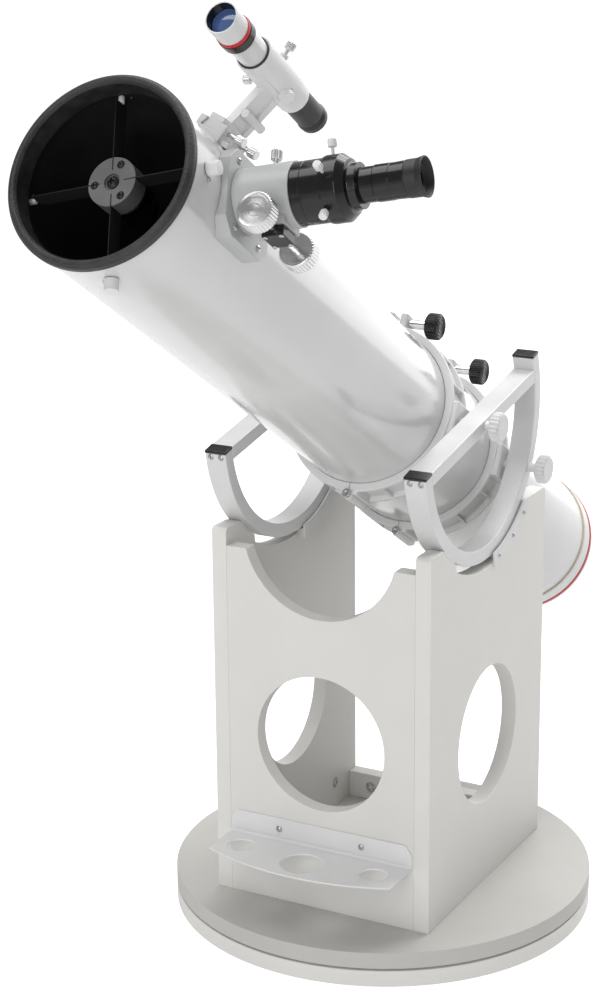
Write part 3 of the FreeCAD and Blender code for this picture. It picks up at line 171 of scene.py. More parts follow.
ROOM_LIGHT = 0.27
world = bpy.data.worlds.new("studio_world")
world.use_nodes = True
room = world.node_tree
path = room.nodes.new("ShaderNodeLightPath")
level = room.nodes.new("ShaderNodeMapRange")
level.inputs["To Min"].default_value = ROOM_LIGHT
room.links.new(path.outputs["Is Camera Ray"], level.inputs["Value"])
room.links.new(level.outputs["Result"], room.nodes["Background"].inputs["Strength"])
room.nodes["Background"].inputs["Color"].default_value = (1, 1, 1, 1)
bpy.context.scene.world = world
bpy.context.scene.view_settings.view_transform = "Standard"

# %% [markdown]
# ## Surface effects shared by several finishes
# Orange peel in paint, the pebble of moulded plastic, the fine lines of turned metal and the slight
# unevenness of any white surface come back in many materials. Each is a node group with named
# inputs, so that every finish sets its own scale and strength.

# %% Surface effects
def group_tree(name, inputs, outputs):
    """An empty shader node group with its sockets."""
    tree = bpy.data.node_groups.new(name, "ShaderNodeTree")
    for title, kind, value in inputs:
        socket = tree.interface.new_socket(title, in_out="INPUT", socket_type=kind)
        if value is not None:
            socket.default_value = value
    for title, kind in outputs:
        tree.interface.new_socket(title, in_out="OUTPUT", socket_type=kind)
    return tree, tree.nodes.new("NodeGroupInput"), tree.nodes.new("NodeGroupOutput")


def node(tree, kind, inputs=None, **settings):
    """One node with its settings and its input values or links."""
    made = tree.nodes.new(kind)
    for key, value in settings.items():
        setattr(made, key, value)
    for key, value in (inputs or {}).items():
        if isinstance(value, bpy.types.NodeSocket):
            tree.links.new(value, made.inputs[key])
        else:
            made.inputs[key].default_value = value
    return made


FLOAT = "NodeSocketFloat"
COLOUR = "NodeSocketColor"


def pebble_group():
    """Fine bumps in every direction: paint, moulded plastic, castings."""
    tree, start, end = group_tree("pebble", [("Scale", FLOAT, 900), ("Depth", FLOAT, 0.2)],
                                  [("Normal", "NodeSocketVector"), ("Mask", FLOAT)])
    place = node(tree, "ShaderNodeTexCoord")
    noise = node(tree, "ShaderNodeTexNoise", {"Vector": place.outputs["Object"],
                                              "Scale": start.outputs["Scale"], "Detail": 2.0})
    bump = node(tree, "ShaderNodeBump", {"Strength": start.outputs["Depth"], "Distance": 0.001,
                                         "Height": noise.outputs["Fac"]})
    tree.links.new(bump.outputs["Normal"], end.inputs["Normal"])
    tree.links.new(noise.outputs["Fac"], end.inputs["Mask"])
    return tree


def mottle_group():
    """Two nearly equal colours in soft clouds, and a roughness that follows them."""
    tree, start, end = group_tree(
        "mottle", [("Colour A", COLOUR, None), ("Colour B", COLOUR, None), ("Scale", FLOAT, 12),
                   ("Roughness Low", FLOAT, 0.3), ("Roughness High", FLOAT, 0.4)],
        [("Colour", COLOUR), ("Roughness", FLOAT)])
    place = node(tree, "ShaderNodeTexCoord")
    noise = node(tree, "ShaderNodeTexNoise", {"Vector": place.outputs["Object"],
                                              "Scale": start.outputs["Scale"], "Detail": 4.0})
    spread = node(tree, "ShaderNodeMapRange", {"Value": noise.outputs["Fac"], "From Min": 0.35,
                                               "From Max": 0.65})
    mix = node(tree, "ShaderNodeMix", {"Factor": spread.outputs["Result"]}, data_type="RGBA")
    tree.links.new(start.outputs["Colour A"], mix.inputs["A"])
    tree.links.new(start.outputs["Colour B"], mix.inputs["B"])
    rough = node(tree, "ShaderNodeMapRange", {"Value": spread.outputs["Result"],
                                              "To Min": start.outputs["Roughness Low"],
                                              "To Max": start.outputs["Roughness High"]})
    tree.links.new(mix.outputs["Result"], end.inputs["Colour"])
    tree.links.new(rough.outputs["Result"], end.inputs["Roughness"])
    return tree


def turning_group():
    """Concentric lines left by a lathe, read from the piece's own radius coordinate."""
    tree, start, end = group_tree("turning", [("Lines", FLOAT, 2200), ("Depth", FLOAT, 0.2)],
                                  [("Normal", "NodeSocketVector"), ("Mask", FLOAT)])
    radius = node(tree, "ShaderNodeAttribute", attribute_name="turn_radius")
    noise = node(tree, "ShaderNodeTexNoise", {"W": radius.outputs["Fac"], "Scale": start.outputs["Lines"],
                                              "Detail": 3.0}, noise_dimensions="1D")
    bump = node(tree, "ShaderNodeBump", {"Strength": start.outputs["Depth"], "Distance": 0.0004,
                                         "Height": noise.outputs["Fac"]})
    tree.links.new(bump.outputs["Normal"], end.inputs["Normal"])
    tree.links.new(noise.outputs["Fac"], end.inputs["Mask"])
    return tree


PEBBLE = pebble_group()
MOTTLE = mottle_group()
TURNING = turning_group()
print("groups:", [tree.name for tree in bpy.data.node_groups])

# %% [markdown]
# ## The finishes
# Every finish is a Principled surface fed by the groups: two close colours, a roughness that varies,
# and a bump at the scale of the real material. Metal, coat and the rest stay as plain numbers on
# the shader, where an export can read them. The floor, which isn't part of the object, glows more
# to the eye than it lights the pieces above it.

# %% Finishes
def finish(name, low, high, rough, scale=12, bump=None, turned=None, **shader):
    """A material from two colours, a roughness range and one kind of bump."""
    material = bpy.data.materials.new(name)
    material.use_nodes = True
    tree = material.node_tree
    surface = tree.nodes["Principled BSDF"]
    mottle = node(tree, "ShaderNodeGroup", node_tree=MOTTLE)
    mottle.inputs["Colour A"].default_value = (*low, 1)
    mottle.inputs["Colour B"].default_value = (*high, 1)
    mottle.inputs["Scale"].default_value = scale
    mottle.inputs["Roughness Low"].default_value = rough[0]
    mottle.inputs["Roughness High"].default_value = rough[1]
    tree.links.new(mottle.outputs["Colour"], surface.inputs["Base Color"])
    tree.links.new(mottle.outputs["Roughness"], surface.inputs["Roughness"])
    if bump or turned:
        grain = node(tree, "ShaderNodeGroup", node_tree=TURNING if turned else PEBBLE)
        first, second = turned or bump
        grain.inputs[0].default_value = first
        grain.inputs[1].default_value = second
        tree.links.new(grain.outputs["Normal"], surface.inputs["Normal"])
    for key, value in shader.items():
        surface.inputs[key.replace("_", " ")].default_value = value
    return material


def grey(value, warm=0.0):
    return (value + warm, value, value - warm)


F = {
    "laminate": finish("laminate", (.69, .68, .655), (.72, .71, .685), (0.42, 0.5), 9, (700, .10)),
    "edge_band": finish("edge_band", (.50, .49, .465), (.53, .52, .495), (0.5, 0.58), 9, (500, .12)),
    "board_edge": finish("board_edge", (.71, .70, .675), (.74, .73, .705), (0.45, 0.52), 9, (500, .12)),
    "tube_paint": finish("tube_paint", grey(0.56), grey(0.60), (0.22, 0.28), 6, (260, .02),
                         Coat_Weight=1.0, Coat_Roughness=0.12),
    "inside_black": finish("inside_black", grey(0.003), grey(0.005), (0.7, 0.85), 20, (1200, .2)),
    "cast_white": finish("cast_white", grey(0.66), grey(0.71), (0.34, 0.44), 14, (520, .12)),
    "sheet_white": finish("sheet_white", grey(0.72), grey(0.76), (0.36, 0.42), 14, (900, .14)),
    "white_plastic": finish("white_plastic", grey(0.66), grey(0.70), (0.3, 0.4), 30, (900, .10)),
    "arc_silver": finish("arc_silver", grey(0.62), grey(0.67), (0.34, 0.44), 16, (900, .1), Metallic=0.2),
    "grained_black": finish("grained_black", grey(0.014), grey(0.030), (0.4, 0.55), 60, (700, .8)),
    "black_plastic": finish("black_plastic", grey(0.004), grey(0.007), (0.22, 0.3), 30, (900, .12)),
    "black_anodised": finish("black_anodised", grey(0.004), grey(0.007), (0.13, 0.19), 30,
                             turned=(2500, .03)),
    "rubber": finish("rubber", grey(0.006), grey(0.010), (0.42, 0.52), 40, (1200, .2)),
    "silver_turned": finish("silver_turned", grey(0.72), grey(0.8), (0.2, 0.32), 20,
                            turned=(1800, .35), Metallic=1.0),
    "silver_fine": finish("silver_fine", grey(0.66), grey(0.72), (0.26, 0.36), 20, (1500, .06),
                          Metallic=0.9),
    "chrome": finish("chrome", grey(0.76), grey(0.8), (0.06, 0.12), 20, Metallic=1.0),
    "steel": finish("steel", grey(0.5), grey(0.6), (0.25, 0.4), 60, (1500, .08), Metallic=1.0),
    "dark_steel": finish("dark_steel", grey(0.03), grey(0.05), (0.3, 0.45), 60, (1500, .08),
                         Metallic=0.6),
    "focuser_grey": finish("focuser_grey", grey(0.40, -.004), grey(0.44, -.004), (0.3, 0.38), 20,
                           (900, .1)),
    "hub_grey": finish("hub_grey", grey(0.10), grey(0.13), (0.45, 0.55), 30, (900, .1)),
    "red_anodised": finish("red_anodised", (.46, .003, .006), (.52, .005, .009), (0.38, 0.46), 30,
                           (1200, .05)),
    "cream_line": finish("cream_line", (.66, .58, .44), (.72, .64, .5), (0.3, 0.4), 30, (1200, .05)),
    "mirror": finish("mirror", grey(0.86), grey(0.88), (0.01, 0.02), 8, Metallic=1.0),
    "coated_lens": finish("coated_lens", (.05, .10, .26), (.08, .15, .34), (0.03, 0.05), 8,
                          Coat_Weight=1.0, Coat_Roughness=0.02),
    "floor": finish("floor", grey(0.42), grey(0.43), (0.7, 0.8), 3, (90, .01)),
}
FLOOR_AS_LAMP = 0.5
FLOOR_AS_SEEN = 0.95
floor_tree = F["floor"].node_tree
floor_surface = floor_tree.nodes["Principled BSDF"]
floor_surface.inputs["Emission Color"].default_value = (1, 1, 1, 1)
floor_path = node(floor_tree, "ShaderNodeLightPath")
floor_level = node(floor_tree, "ShaderNodeMapRange", {"Value": floor_path.outputs["Is Camera Ray"],
                                                      "To Min": FLOOR_AS_LAMP, "To Max": FLOOR_AS_SEEN})
floor_tree.links.new(floor_level.outputs["Result"], floor_surface.inputs["Emission Strength"])
studio_floor.data.materials.append(F["floor"])
print("finishes:", len(F))

# %% [markdown]
# ## Three ways to make a piece
# Nearly everything here was turned, cut from board or cast, so three helpers cover it. A lathe spins
# a profile whose corners are rounded first. A plate closes rounded rims between two flat faces, for
# boards with holes. A block is a small rounded bar. Each adds its shape to a mesh under
# construction, so that one piece can hold several shapes.

# %% Rounding a profile
def rounded(points, radius, steps=4, closed=True):
    """Replaces each corner of an outline by a small arc; a point may carry its own radius."""
    count = len(points)
    result = []
    for index, point in enumerate(points):
        here = Vector(point[:2])
        want = point[2] if len(point) > 2 else radius
        if want <= 0 or (not closed and index in (0, count - 1)):
            result.append(tuple(here))
            continue
        before = Vector(points[index - 1][:2]) - here
        after = Vector(points[(index + 1) % count][:2]) - here
        turn = before.angle(after)
        if turn > math.radians(176):
            result.append(tuple(here))
            continue
        reach = min(want / math.tan(turn / 2), before.length * 0.45, after.length * 0.45)
        start = here + before.normalized() * reach
        end = here + after.normalized() * reach
        for step in range(steps + 1):
            share = step / steps
            low = start.lerp(here, share)
            high = here.lerp(end, share)
            result.append(tuple(low.lerp(high, share)))
    return result


def circle_points(x, y, radius, steps=96, clockwise=False):
    sign = -1 if clockwise else 1
    return [(x + radius * math.cos(sign * math.tau * k / steps),
             y + radius * math.sin(sign * math.tau * k / steps)) for k in range(steps)]


def arc_points(x, y, radius, first, last, steps=48):
    return [(x + radius * math.cos(math.radians(first + (last - first) * k / steps)),
             y + radius * math.sin(math.radians(first + (last - first) * k / steps)))
            for k in range(steps + 1)]


# %% Lathe, plate and block
class Work:
    """A mesh under construction: shapes are added, then it becomes one named piece."""

    def __init__(self):
        self.mesh = bmesh.new()
        self.radius = self.mesh.verts.layers.float.new("turn_radius")

    def add(self, frame, x, y, z, radius=0.0):
        vertex = self.mesh.verts.new(frame @ (Vector((x, y, z)) * MM))
        vertex[self.radius] = radius * MM
        return vertex

    def face(self, vertices, material=0):
        made = self.mesh.faces.new(vertices)
        made.material_index = material
        made.smooth = True
        return made

    def lathe(self, frame, profile, steps=96, rounding=0.4, flutes=None, start=0.0, sweep=360.0,
              materials=None, ends=True):
        """Spins a closed profile of (radius, height, corner radius) round the frame's z."""
        marks = materials or [0] * len(profile)
        outline = []
        index_of = []
        for index, point in enumerate(profile):
            corner = rounded([profile[index - 1][:2], point, profile[(index + 1) % len(profile)][:2]],
                             rounding, closed=False)[1:-1]
            outline += corner
            index_of += [marks[index]] * len(corner)
        full = abs(sweep) > 359.9
        turns = steps if full else steps + 1
        rings = []
        for turn in range(turns):
            angle = math.radians(start + sweep * turn / steps)
            ring = []
            for r, z in outline:
                reach = r
                if flutes:
                    count, depth, low, high, edge = flutes
                    if low <= z <= high and r >= edge:
                        reach = r - depth * (0.5 - 0.5 * math.cos(count * angle)) ** 1.5
                ring.append(self.add(frame, reach * math.cos(angle), reach * math.sin(angle), z, r)
                            if r > 1e-6 else None)
            rings.append(ring)
        poles = {k: self.add(frame, 0, 0, z) for k, (r, z) in enumerate(outline) if r <= 1e-6}
        for ring in rings:
            for k, vertex in poles.items():
                ring[k] = vertex
        count = len(outline)
        for turn in range(steps):
            near, far = rings[turn], rings[(turn + 1) % turns]
            for k in range(count):
                corners = [near[k], near[(k + 1) % count], far[(k + 1) % count], far[k]]
                corners = list(dict.fromkeys(corners))
                if len(corners) > 2:
                    self.face(corners, index_of[k])
        if not full and ends:
            self.face(rings[0])
            self.face(list(reversed(rings[-1])))
        return self

    def plate(self, frame, loops, thick, rounding=0.6, steps=3, face_material=0, rim_material=0):
        """A flat plate from z 0 to its thickness: the outline runs left round, holes right round."""
        lifts = []
        for step in range(steps + 1):
            angle = math.pi / 2 * step / steps
            lifts.append((rounding * (1 - math.sin(angle)), rounding * (1 - math.cos(angle))))
        levels = lifts + [(inset, thick - lift) for inset, lift in reversed(lifts)]
        caps = ([], [])
        for loop in loops:
            insets = inward(loop)
            rings = [[self.add(frame, x + dx * inset, y + dy * inset, z)
                      for (x, y), (dx, dy) in zip(loop, insets)] for inset, z in levels]
            count = len(loop)
            for low, high in zip(rings, rings[1:]):
                for k in range(count):
                    self.face([low[k], low[(k + 1) % count], high[(k + 1) % count], high[k]],
                              rim_material)
            caps[0].append(rings[0])
            caps[1].append(rings[-1])
        for rings in caps:
            edges = []
            for ring in rings:
                edges += [self.mesh.edges.get((ring[k - 1], ring[k])) for k in range(len(ring))]
            filled = bmesh.ops.triangle_fill(self.mesh, edges=edges, use_beauty=True)
            for made in filled["geom"]:
                if isinstance(made, bmesh.types.BMFace):
                    made.material_index = face_material
                    made.smooth = True
        return self

    def block(self, frame, size, rounding=0.8, material=0):
        """A rounded bar about the frame's origin."""
        made = bmesh.ops.create_cube(self.mesh, size=1)["verts"]
        for vertex in made:
            vertex.co = frame @ (Vector([c * s for c, s in zip(vertex.co, size)]) * MM)
        edges = list({edge for vertex in made for edge in vertex.link_edges})
        bevelled = bmesh.ops.bevel(self.mesh, geom=edges, offset=rounding * MM, segments=3, profile=0.5,
                                   affect="EDGES")
        for made in {face for vertex in bevelled["verts"] for face in vertex.link_faces}:
            made.smooth = True
            made.material_index = material
        return self

    def piece(self, name, body, slot, materials, nodes=(), sharp=30):
        """Closes the work into an object that rides on a body and stands for CAD nodes."""
        bmesh.ops.recalc_face_normals(self.mesh, faces=self.mesh.faces)
        data = bpy.data.meshes.new(name)
        self.mesh.to_mesh(data)
        self.mesh.free()
        data.set_sharp_from_angle(angle=math.radians(sharp))
        made = bpy.data.objects.new(name, data)
        bpy.context.scene.collection.objects.link(made)
        for key in materials.split():
            data.materials.append(F[key])
        weighted = made.modifiers.new("flat_faces", "WEIGHTED_NORMAL")
        weighted.keep_sharp = True
        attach(made, body)
        if nodes:
            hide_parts(*(nodes.split() if isinstance(nodes, str) else nodes))
        return made


def inward(loop):
    """Unit steps from each outline point into the material, which lies on the left of travel."""
    steps = []
    count = len(loop)
    for k in range(count):
        here = Vector(loop[k])
        before = (here - Vector(loop[k - 1])).normalized()
        after = (Vector(loop[(k + 1) % count]) - here).normalized()
        normal = Vector((-before.y, before.x)) + Vector((-after.y, after.x))
        normal.normalize()
        grow = 1 / max(0.5, normal.dot(Vector((-after.y, after.x))))
        steps.append((normal.x * grow, normal.y * grow))
    return steps


print("helpers ready")

# %% [markdown]
# ## Pieces whose CAD shape is already right
# Some pieces only miss the small rounding that every real edge has, which is what catches light.
# Their CAD mesh is copied, its flat faces are joined again and a bevel is put on the sharp edges;
# the copy then stands for the CAD node.

# %% Softened copies
def soften(node_name, material, body, width=0.5, segments=2):
    """A copy of a CAD node with rounded edges."""
    source = frame["nodes"][node_name].data
    mesh = bmesh.new()
    mesh.from_mesh(source)
    bmesh.ops.remove_doubles(mesh, verts=mesh.verts, dist=2e-6)
    bmesh.ops.dissolve_limit(mesh, angle_limit=math.radians(0.6), verts=mesh.verts, edges=mesh.edges)
    for made in mesh.faces:
        made.smooth = True
        made.material_index = 0
    data = bpy.data.meshes.new("soft_" + node_name)
    mesh.to_mesh(data)
    mesh.free()
    data.set_sharp_from_angle(angle=math.radians(28))
    data.materials.clear()
    data.materials.append(F[material])
    made = bpy.data.objects.new("soft_" + node_name, data)
    bpy.context.scene.collection.objects.link(made)
    if width:
        bevel = made.modifiers.new("rounded_edges", "BEVEL")
        bevel.width = width * MM
        bevel.segments = segments
        bevel.limit_method = "ANGLE"
        bevel.angle_limit = math.radians(35)
        bevel.use_clamp_overlap = False
        bevel.harden_normals = False
    weighted = made.modifiers.new("flat_faces", "WEIGHTED_NORMAL")
    weighted.keep_sharp = True
    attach(made, body)
    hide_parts(node_name)
    return made


def dress(node_name, material):
    """A CAD node that stays as it is, in a better material."""
    data = frame["nodes"][node_name].data
    data.materials.clear()
    data.materials.append(F[material])


# %% [markdown]
# ## Round boards
# The base is two discs of white laminated board with a grey-white edge band, one turning on the
# other. The gap between them is only a thin dark line, so its depth matters more than its detail.

# %% Round boards
def round_board(name, level, body, edge):
    profile = [(5.2, level), (254, level, 1.2), (254, level + 20, 1.2), (5.2, level + 20)]
    Work().lathe(WORLD, profile, 256, 0.4, materials=[0, 1, 1, 0]).piece(
        name, body, "white_board", "laminate " + edge, name.replace("_disc", "_board"))


round_board("ground_disc", 10, "base", "board_edge")
round_board("turntable_disc", 32.5, "rocker", "edge_band")
dress("feet", "black_plastic")
dress("azimuth_pads", "white_plastic")
dress("pivot_hardware", "steel")
print("base boards done")

# %% [markdown]
# ## Rocker box
# The box is cut from 19 mm laminated chipboard: two side boards with a cut-out for the altitude
# bearing, a front board with a hollow between two horns, and a low brace at the back. Each is a
# plate whose outline is drawn once, corners rounded as a router leaves them.

# %% Rocker box
HALF_BOX = 139
INNER = 120
DEPTH = 163


def side_outline():
    """Outline of a side board in its own plane: y to the right, height up."""
    cut, relief, height, centre = 163.3, 170.5, 568.3, -17
    shoulder = math.degrees(math.asin((height - 451.5) / cut))
    arc = arc_points(centre, height, cut, -shoulder, -78, 40)
    arc += arc_points(centre, height, relief, -78, -117, 24)
    arc += arc_points(centre, height, cut, -119, shoulder - 180, 30)
    outer = [(-DEPTH, 0, 0.8), (DEPTH, 0, 0.8), (DEPTH, 451.5, 7)] + [(*p, 0) for p in arc]
    return rounded(outer + [(-DEPTH, 451.5, 7)], 0.8, 6)


def side_board(name, start):
    upright = frame_of((start, 0, FLOOR_TO_BOX), (0, 1, 0), (0, 0, 1), (1, 0, 0))
    hole = circle_points(0, 188.5, 84, 128, True)
    Work().plate(upright, [side_outline(), hole], 19, 0.7, 3, 0, 1).piece(
        "side_panel_" + name, "rocker", "white_board", "laminate board_edge", "side_board_" + name)


side_board("right", INNER)
side_board("left", -HALF_BOX)


def front_panel():
    upright = frame_of((0, -144, FLOOR_TO_BOX), (1, 0, 0), (0, 0, 1), (0, -1, 0))
    hollow, height, centre = 97.2, 431, 456.2
    end = math.degrees(math.asin((centre - height) / hollow))
    arc = arc_points(0, centre, hollow, -end - 2.2, end - 177.8, 80)
    horn = hollow * math.cos(math.radians(end))
    outer = [(-INNER, 0), (INNER, 0), (INNER, height), (horn, height, 6)]
    outer += [(*p, 0) for p in arc] + [(-horn, height, 6), (-INNER, height)]
    hole = circle_points(0, 207.5, 82, 128, True)
    Work().plate(upright, [rounded(outer, 0.8, 6), hole], 19, 0.7, 3, 0, 1).piece(
        "front_panel", "rocker", "white_board", "laminate board_edge", "front_board")


front_panel()
Work().block(shift(0, 153.5, FLOOR_TO_BOX + 17.5), (239.9, 19, 35), 0.7).piece(
    "brace_panel", "rocker", "white_board", "laminate", "rear_brace")
print("box panels done")

# %% [markdown]
# ## Cross-head screws and cam locks
# Small fasteners make a machine believable: a screw is a low dome with a cross pressed into it. The
# cross is cut with a boolean, then the cutter is thrown away. A cam lock is the same thing, larger
# and flush in the board.

# %% Screws and cams
def cross_cutter(frames, half_long, half_wide, deep):
    """Two crossed bars at each screw, as one mesh to cut with."""
    work = Work()
    for spot in frames:
        for turn in (0, 90):
            bar = spot @ Matrix.Rotation(math.radians(turn + 20), 4, "Z")
            made = bmesh.ops.create_cube(work.mesh, size=1)["verts"]
            for vertex in made:
                size = (2 * half_long, 2 * half_wide, 2 * deep)
                vertex.co = bar @ (Vector([c * s for c, s in zip(vertex.co, size)]) * MM)
    data = bpy.data.meshes.new("cutter")
    work.mesh.to_mesh(data)
    work.mesh.free()
    cutter = bpy.data.objects.new("cutter", data)
    bpy.context.scene.collection.objects.link(cutter)
    return cutter


def cut_with(piece, cutter):
    """Applies one boolean cut and removes the cutter."""
    change = piece.modifiers.new("recess", "BOOLEAN")
    change.operation = "DIFFERENCE"
    change.solver = "EXACT"
    change.use_self = True
    change.object = cutter
    piece.modifiers.move(len(piece.modifiers) - 1, 0)
    bpy.context.view_layer.update()
    evaluated = piece.evaluated_get(bpy.context.evaluated_depsgraph_get())
    cut = bpy.data.meshes.new_from_object(evaluated)
    piece.modifiers.clear()
    old = piece.data
    piece.data = cut
    bpy.data.meshes.remove(old)
    data = cutter.data
    bpy.data.objects.remove(cutter)
    bpy.data.meshes.remove(data)


def screw_set(name, spots, body, slot, material, nodes=(), radius=3.4, dome=2.2, shank=None):
    """Pan-head screws at frames whose z points out of the head."""
    work = Work()
    long = shank or radius * 2
    for spot in spots:
        work.lathe(spot, [(0, -long), (radius * 0.5, -long), (radius * 0.5, 0.05, 0), (radius, 0.05, 0.1),
                          (radius, dome * 0.4, 0.6), (radius * 0.6, dome, 1), (0, dome, 0)], 28, 0.2)
    made = work.piece(name, body, slot, material, nodes)
    cut_with(made, cross_cutter([spot @ shift(0, 0, dome) for spot in spots], radius * 0.55,
                                radius * 0.14, dome * 0.55))
    return made


tray_spots = [aimed(WORLD, (x, -165, 144.5), (0, -1, 0)) for x in (-54, 54)]
screw_set("tray_fixing_screws", tray_spots, "rocker", "steel", "steel", (), 4, 2.2, 12)


def cam_locks():
    spots = []
    for side in (-1, 1):
        for y in (-104, 104):
            spots.append(aimed(WORLD, (side * INNER, y, 86.5), (-side, 0, 0)))
        spots.append(aimed(WORLD, (side * 88.5, 144, 70), (0, -1, 0)))
        for up in (58, 378):
            spots.append(aimed(WORLD, (side * 88.5, -144, FLOOR_TO_BOX + up), (0, 1, 0)))
    work = Work()
    for spot in spots:
        work.lathe(spot, [(0, -11), (7.4, -11), (7.4, 0.1, 0.5), (0, 0.1, 0)], 40, 0.3)
    made = work.piece("cam_locks", "rocker", "silver", "steel", "cam_fittings")
    cut_with(made, cross_cutter(spots, 5, 0.9, 1.4))


cam_locks()
print("fasteners done")

# %% [markdown]
# ## Eyepiece tray
# One sheet of 2 mm steel, bent once: a flange screwed to the front board and a shelf with a bowed
# front edge and three holes for eyepieces. The bend is a quarter tube between two plates.

# %% Eyepiece tray
def tray():
    work = Work()
    level = 131.0
    bend = 3.0
    reach = 82
    radius = 291
    front_face = -DEPTH
    half = 118
    shelf = frame_of((0, 0, level - 2), (1, 0, 0), (0, 1, 0), (0, 0, 1))
    side_angle = math.degrees(math.asin(half / radius))
    bow = arc_points(0, front_face - reach + radius, radius, 270 - side_angle, 270 + side_angle, 40)
    edge = front_face - bend - 2
    outer = [(*bow[0], 5)] + [(*p, 0) for p in bow[1:-1]] + [(*bow[-1], 5), (half, edge, 0), (-half, edge, 0)]
    holes = [circle_points(x, front_face - y, r, 64, True) for x, y, r in
             ((0, 46.5, 25.5), (-86.5, 35, 16), (86.5, 35, 16))]
    work.plate(shelf, [rounded(outer, 1.5, 6)] + holes, 2, 0.5)
    flange = frame_of((0, front_face, level + bend), (1, 0, 0), (0, 0, 1), (0, -1, 0))
    top = 27 - bend
    outline = [(-half, 0, 0), (half, 0, 0), (half, top - 11), (half - 8, top), (8 - half, top),
               (-half, top - 11)]
    work.plate(flange, [rounded(outline, 3)], 2, 0.5)
    corner = frame_of((-half, front_face - bend - 2, level + bend), (0, 1, 0), (0, 0, 1), (1, 0, 0))
    section = arc_points(0, 0, bend, -90, 0, 8) + arc_points(0, 0, bend + 2, 0, -90, 8)
    rings = [[work.add(corner, x, y, z) for x, y in section] for z in (0, 2 * half)]
    for k in range(len(section)):
        work.face([rings[0][k - 1], rings[0][k], rings[1][k], rings[1][k - 1]])
    work.face(rings[0])
    work.face(list(reversed(rings[1])))
    work.piece("bent_tray", "rocker", "white_paint", "sheet_white", "eyepiece_tray")


tray()
print("tray done")

# %% [markdown]
# ## Altitude bearings
# Two D-shaped hoops of flat bar with a straight bar across carry the tube. They slide on pads in the
# side boards and are kept there by guide plates on both faces.

# %% Altitude bearings
for side in ("left", "right"):
    soften("altitude_arc_" + side, "arc_silver", "tube", 0.9, 3)
soften("cross_bars", "arc_silver", "tube", 0.7, 3)
soften("arc_end_caps", "black_plastic", "tube", 1.0, 3)
soften("bearing_guides", "white_plastic", "rocker", 0.4)
soften("bearing_pads", "white_plastic", "rocker", 0.3)
guide_spots = []
for side in (-1, 1):
    for angle, radius in ((12.5, 167.8), (27, 168.6), (39.5, 169.4)):
        turn = math.radians(angle)
        guide_spots.append(aimed(WORLD, (side * 141.4, AXIS.y + radius * math.sin(turn),
                                         AXIS.z - radius * math.cos(turn)), (side, 0, 0)))
screw_set("guide_plate_screws", guide_spots, "rocker", "steel", "steel", "box_screws", 2.9, 1.6, 8)
BAR_AXES = TUBE @ Matrix.Rotation(math.radians(-47), 4, "X")
bar_spots = [aimed(BAR_AXES, (side * 124.55 + offset, end * 158.9, 0), (0, end, 0))
             for side in (-1, 1) for end in (-1, 1) for offset in (-6.5, 6.5)]
screw_set("cross_bar_screws", bar_spots, "tube", "steel", "steel", (), 3.1, 1.9, 10)
print("bearings done")

# %% [markdown]
# ## Cradle rings
# Each ring is cast in two halves, hinged under the tube and clamped over it. A casting like this has
# raised lips with a thin wall between them and webs across, which keeps it light and stiff. The
# half is turned as a profile, then pads, webs and ear are added to the same mesh.

# %% Cradle rings
def ring_half(name, side, reach):
    base = TUBE @ shift(0, 0, reach)
    work = Work()
    inner, wall, lip = 92.85, 96.5, 102
    first = -89.8 if side > 0 else 90.2
    profile = [(inner, -22), (lip, -22, 1.2), (lip, -16.5, 1.0), (wall, -15.5, 1.5), (wall, 15.5, 1.5),
               (lip, 16.5, 1.0), (lip, 22, 1.2), (inner, 22)]
    work.lathe(base, profile, 96, 0.4, start=first, sweep=179.6)
    for angle in (24, 48, 62, -24, -48, -68):
        turn = math.radians(angle if side > 0 else 180 - angle)
        spot = base @ shift(98.2 * math.cos(turn), 98.2 * math.sin(turn), 0) @ Matrix.Rotation(turn, 4, "Z")
        work.block(spot, (6.5, 3, 34), 0.7)
    work.block(base @ shift(side * 100, 0, 0), (15, 40, 40), 2.5)
    work.lathe(aimed(base, (side * 100, 0, 0), (side, 0, 0)), [(0, 0), (5.5, 0), (5.5, 11.2), (0, 11.2)], 32)
    work.block(base @ shift(side * 9, 107.5, 0), (9, 27.6, 20), 1.6)
    lug_levels = ((-21.5, -8), (8, 21.5)) if side > 0 else ((-7.6, 7.6),)
    work.block(base @ shift(side * 6.5, -100, 0), (9, 11, 41), 1.2)
    for low, high in lug_levels:
        work.lathe(base @ shift(0, -106, 0), [(3.1, low), (6, low), (6, high), (3.1, high)], 32, 0.5)
    work.piece(name + "_casting", "tube", "white_paint", "cast_white", name)


for ring_name, reach in (("front", 0), ("rear", -152)):
    ring_half(ring_name + "_ring_left", -1, reach)
    ring_half(ring_name + "_ring_right", 1, reach)
hinge_spots = [TUBE @ shift(0, -106, reach + 21.6) for reach in (0, -152)]
hinges = Work()
for spot in hinge_spots:
    hinges.lathe(spot, [(0, -52), (3, -52), (3, 0), (5, 0), (5, 5, 0.6), (2.5, 5, 0.2), (2.5, 2.5, 0),
                        (0, 2.5, 0)], 32, 0.2)
hinges.piece("hinge_bolts", "tube", "steel", "steel", "small_screws")
print("cradle rings done")

# %% [markdown]
# ## Hand knobs
# Clamp knobs are black with turned rings in the face, on a chromed sleeve; bearing knobs are white
# with deep flutes. A flute is a ripple in the lathe's radius, so one helper makes both.

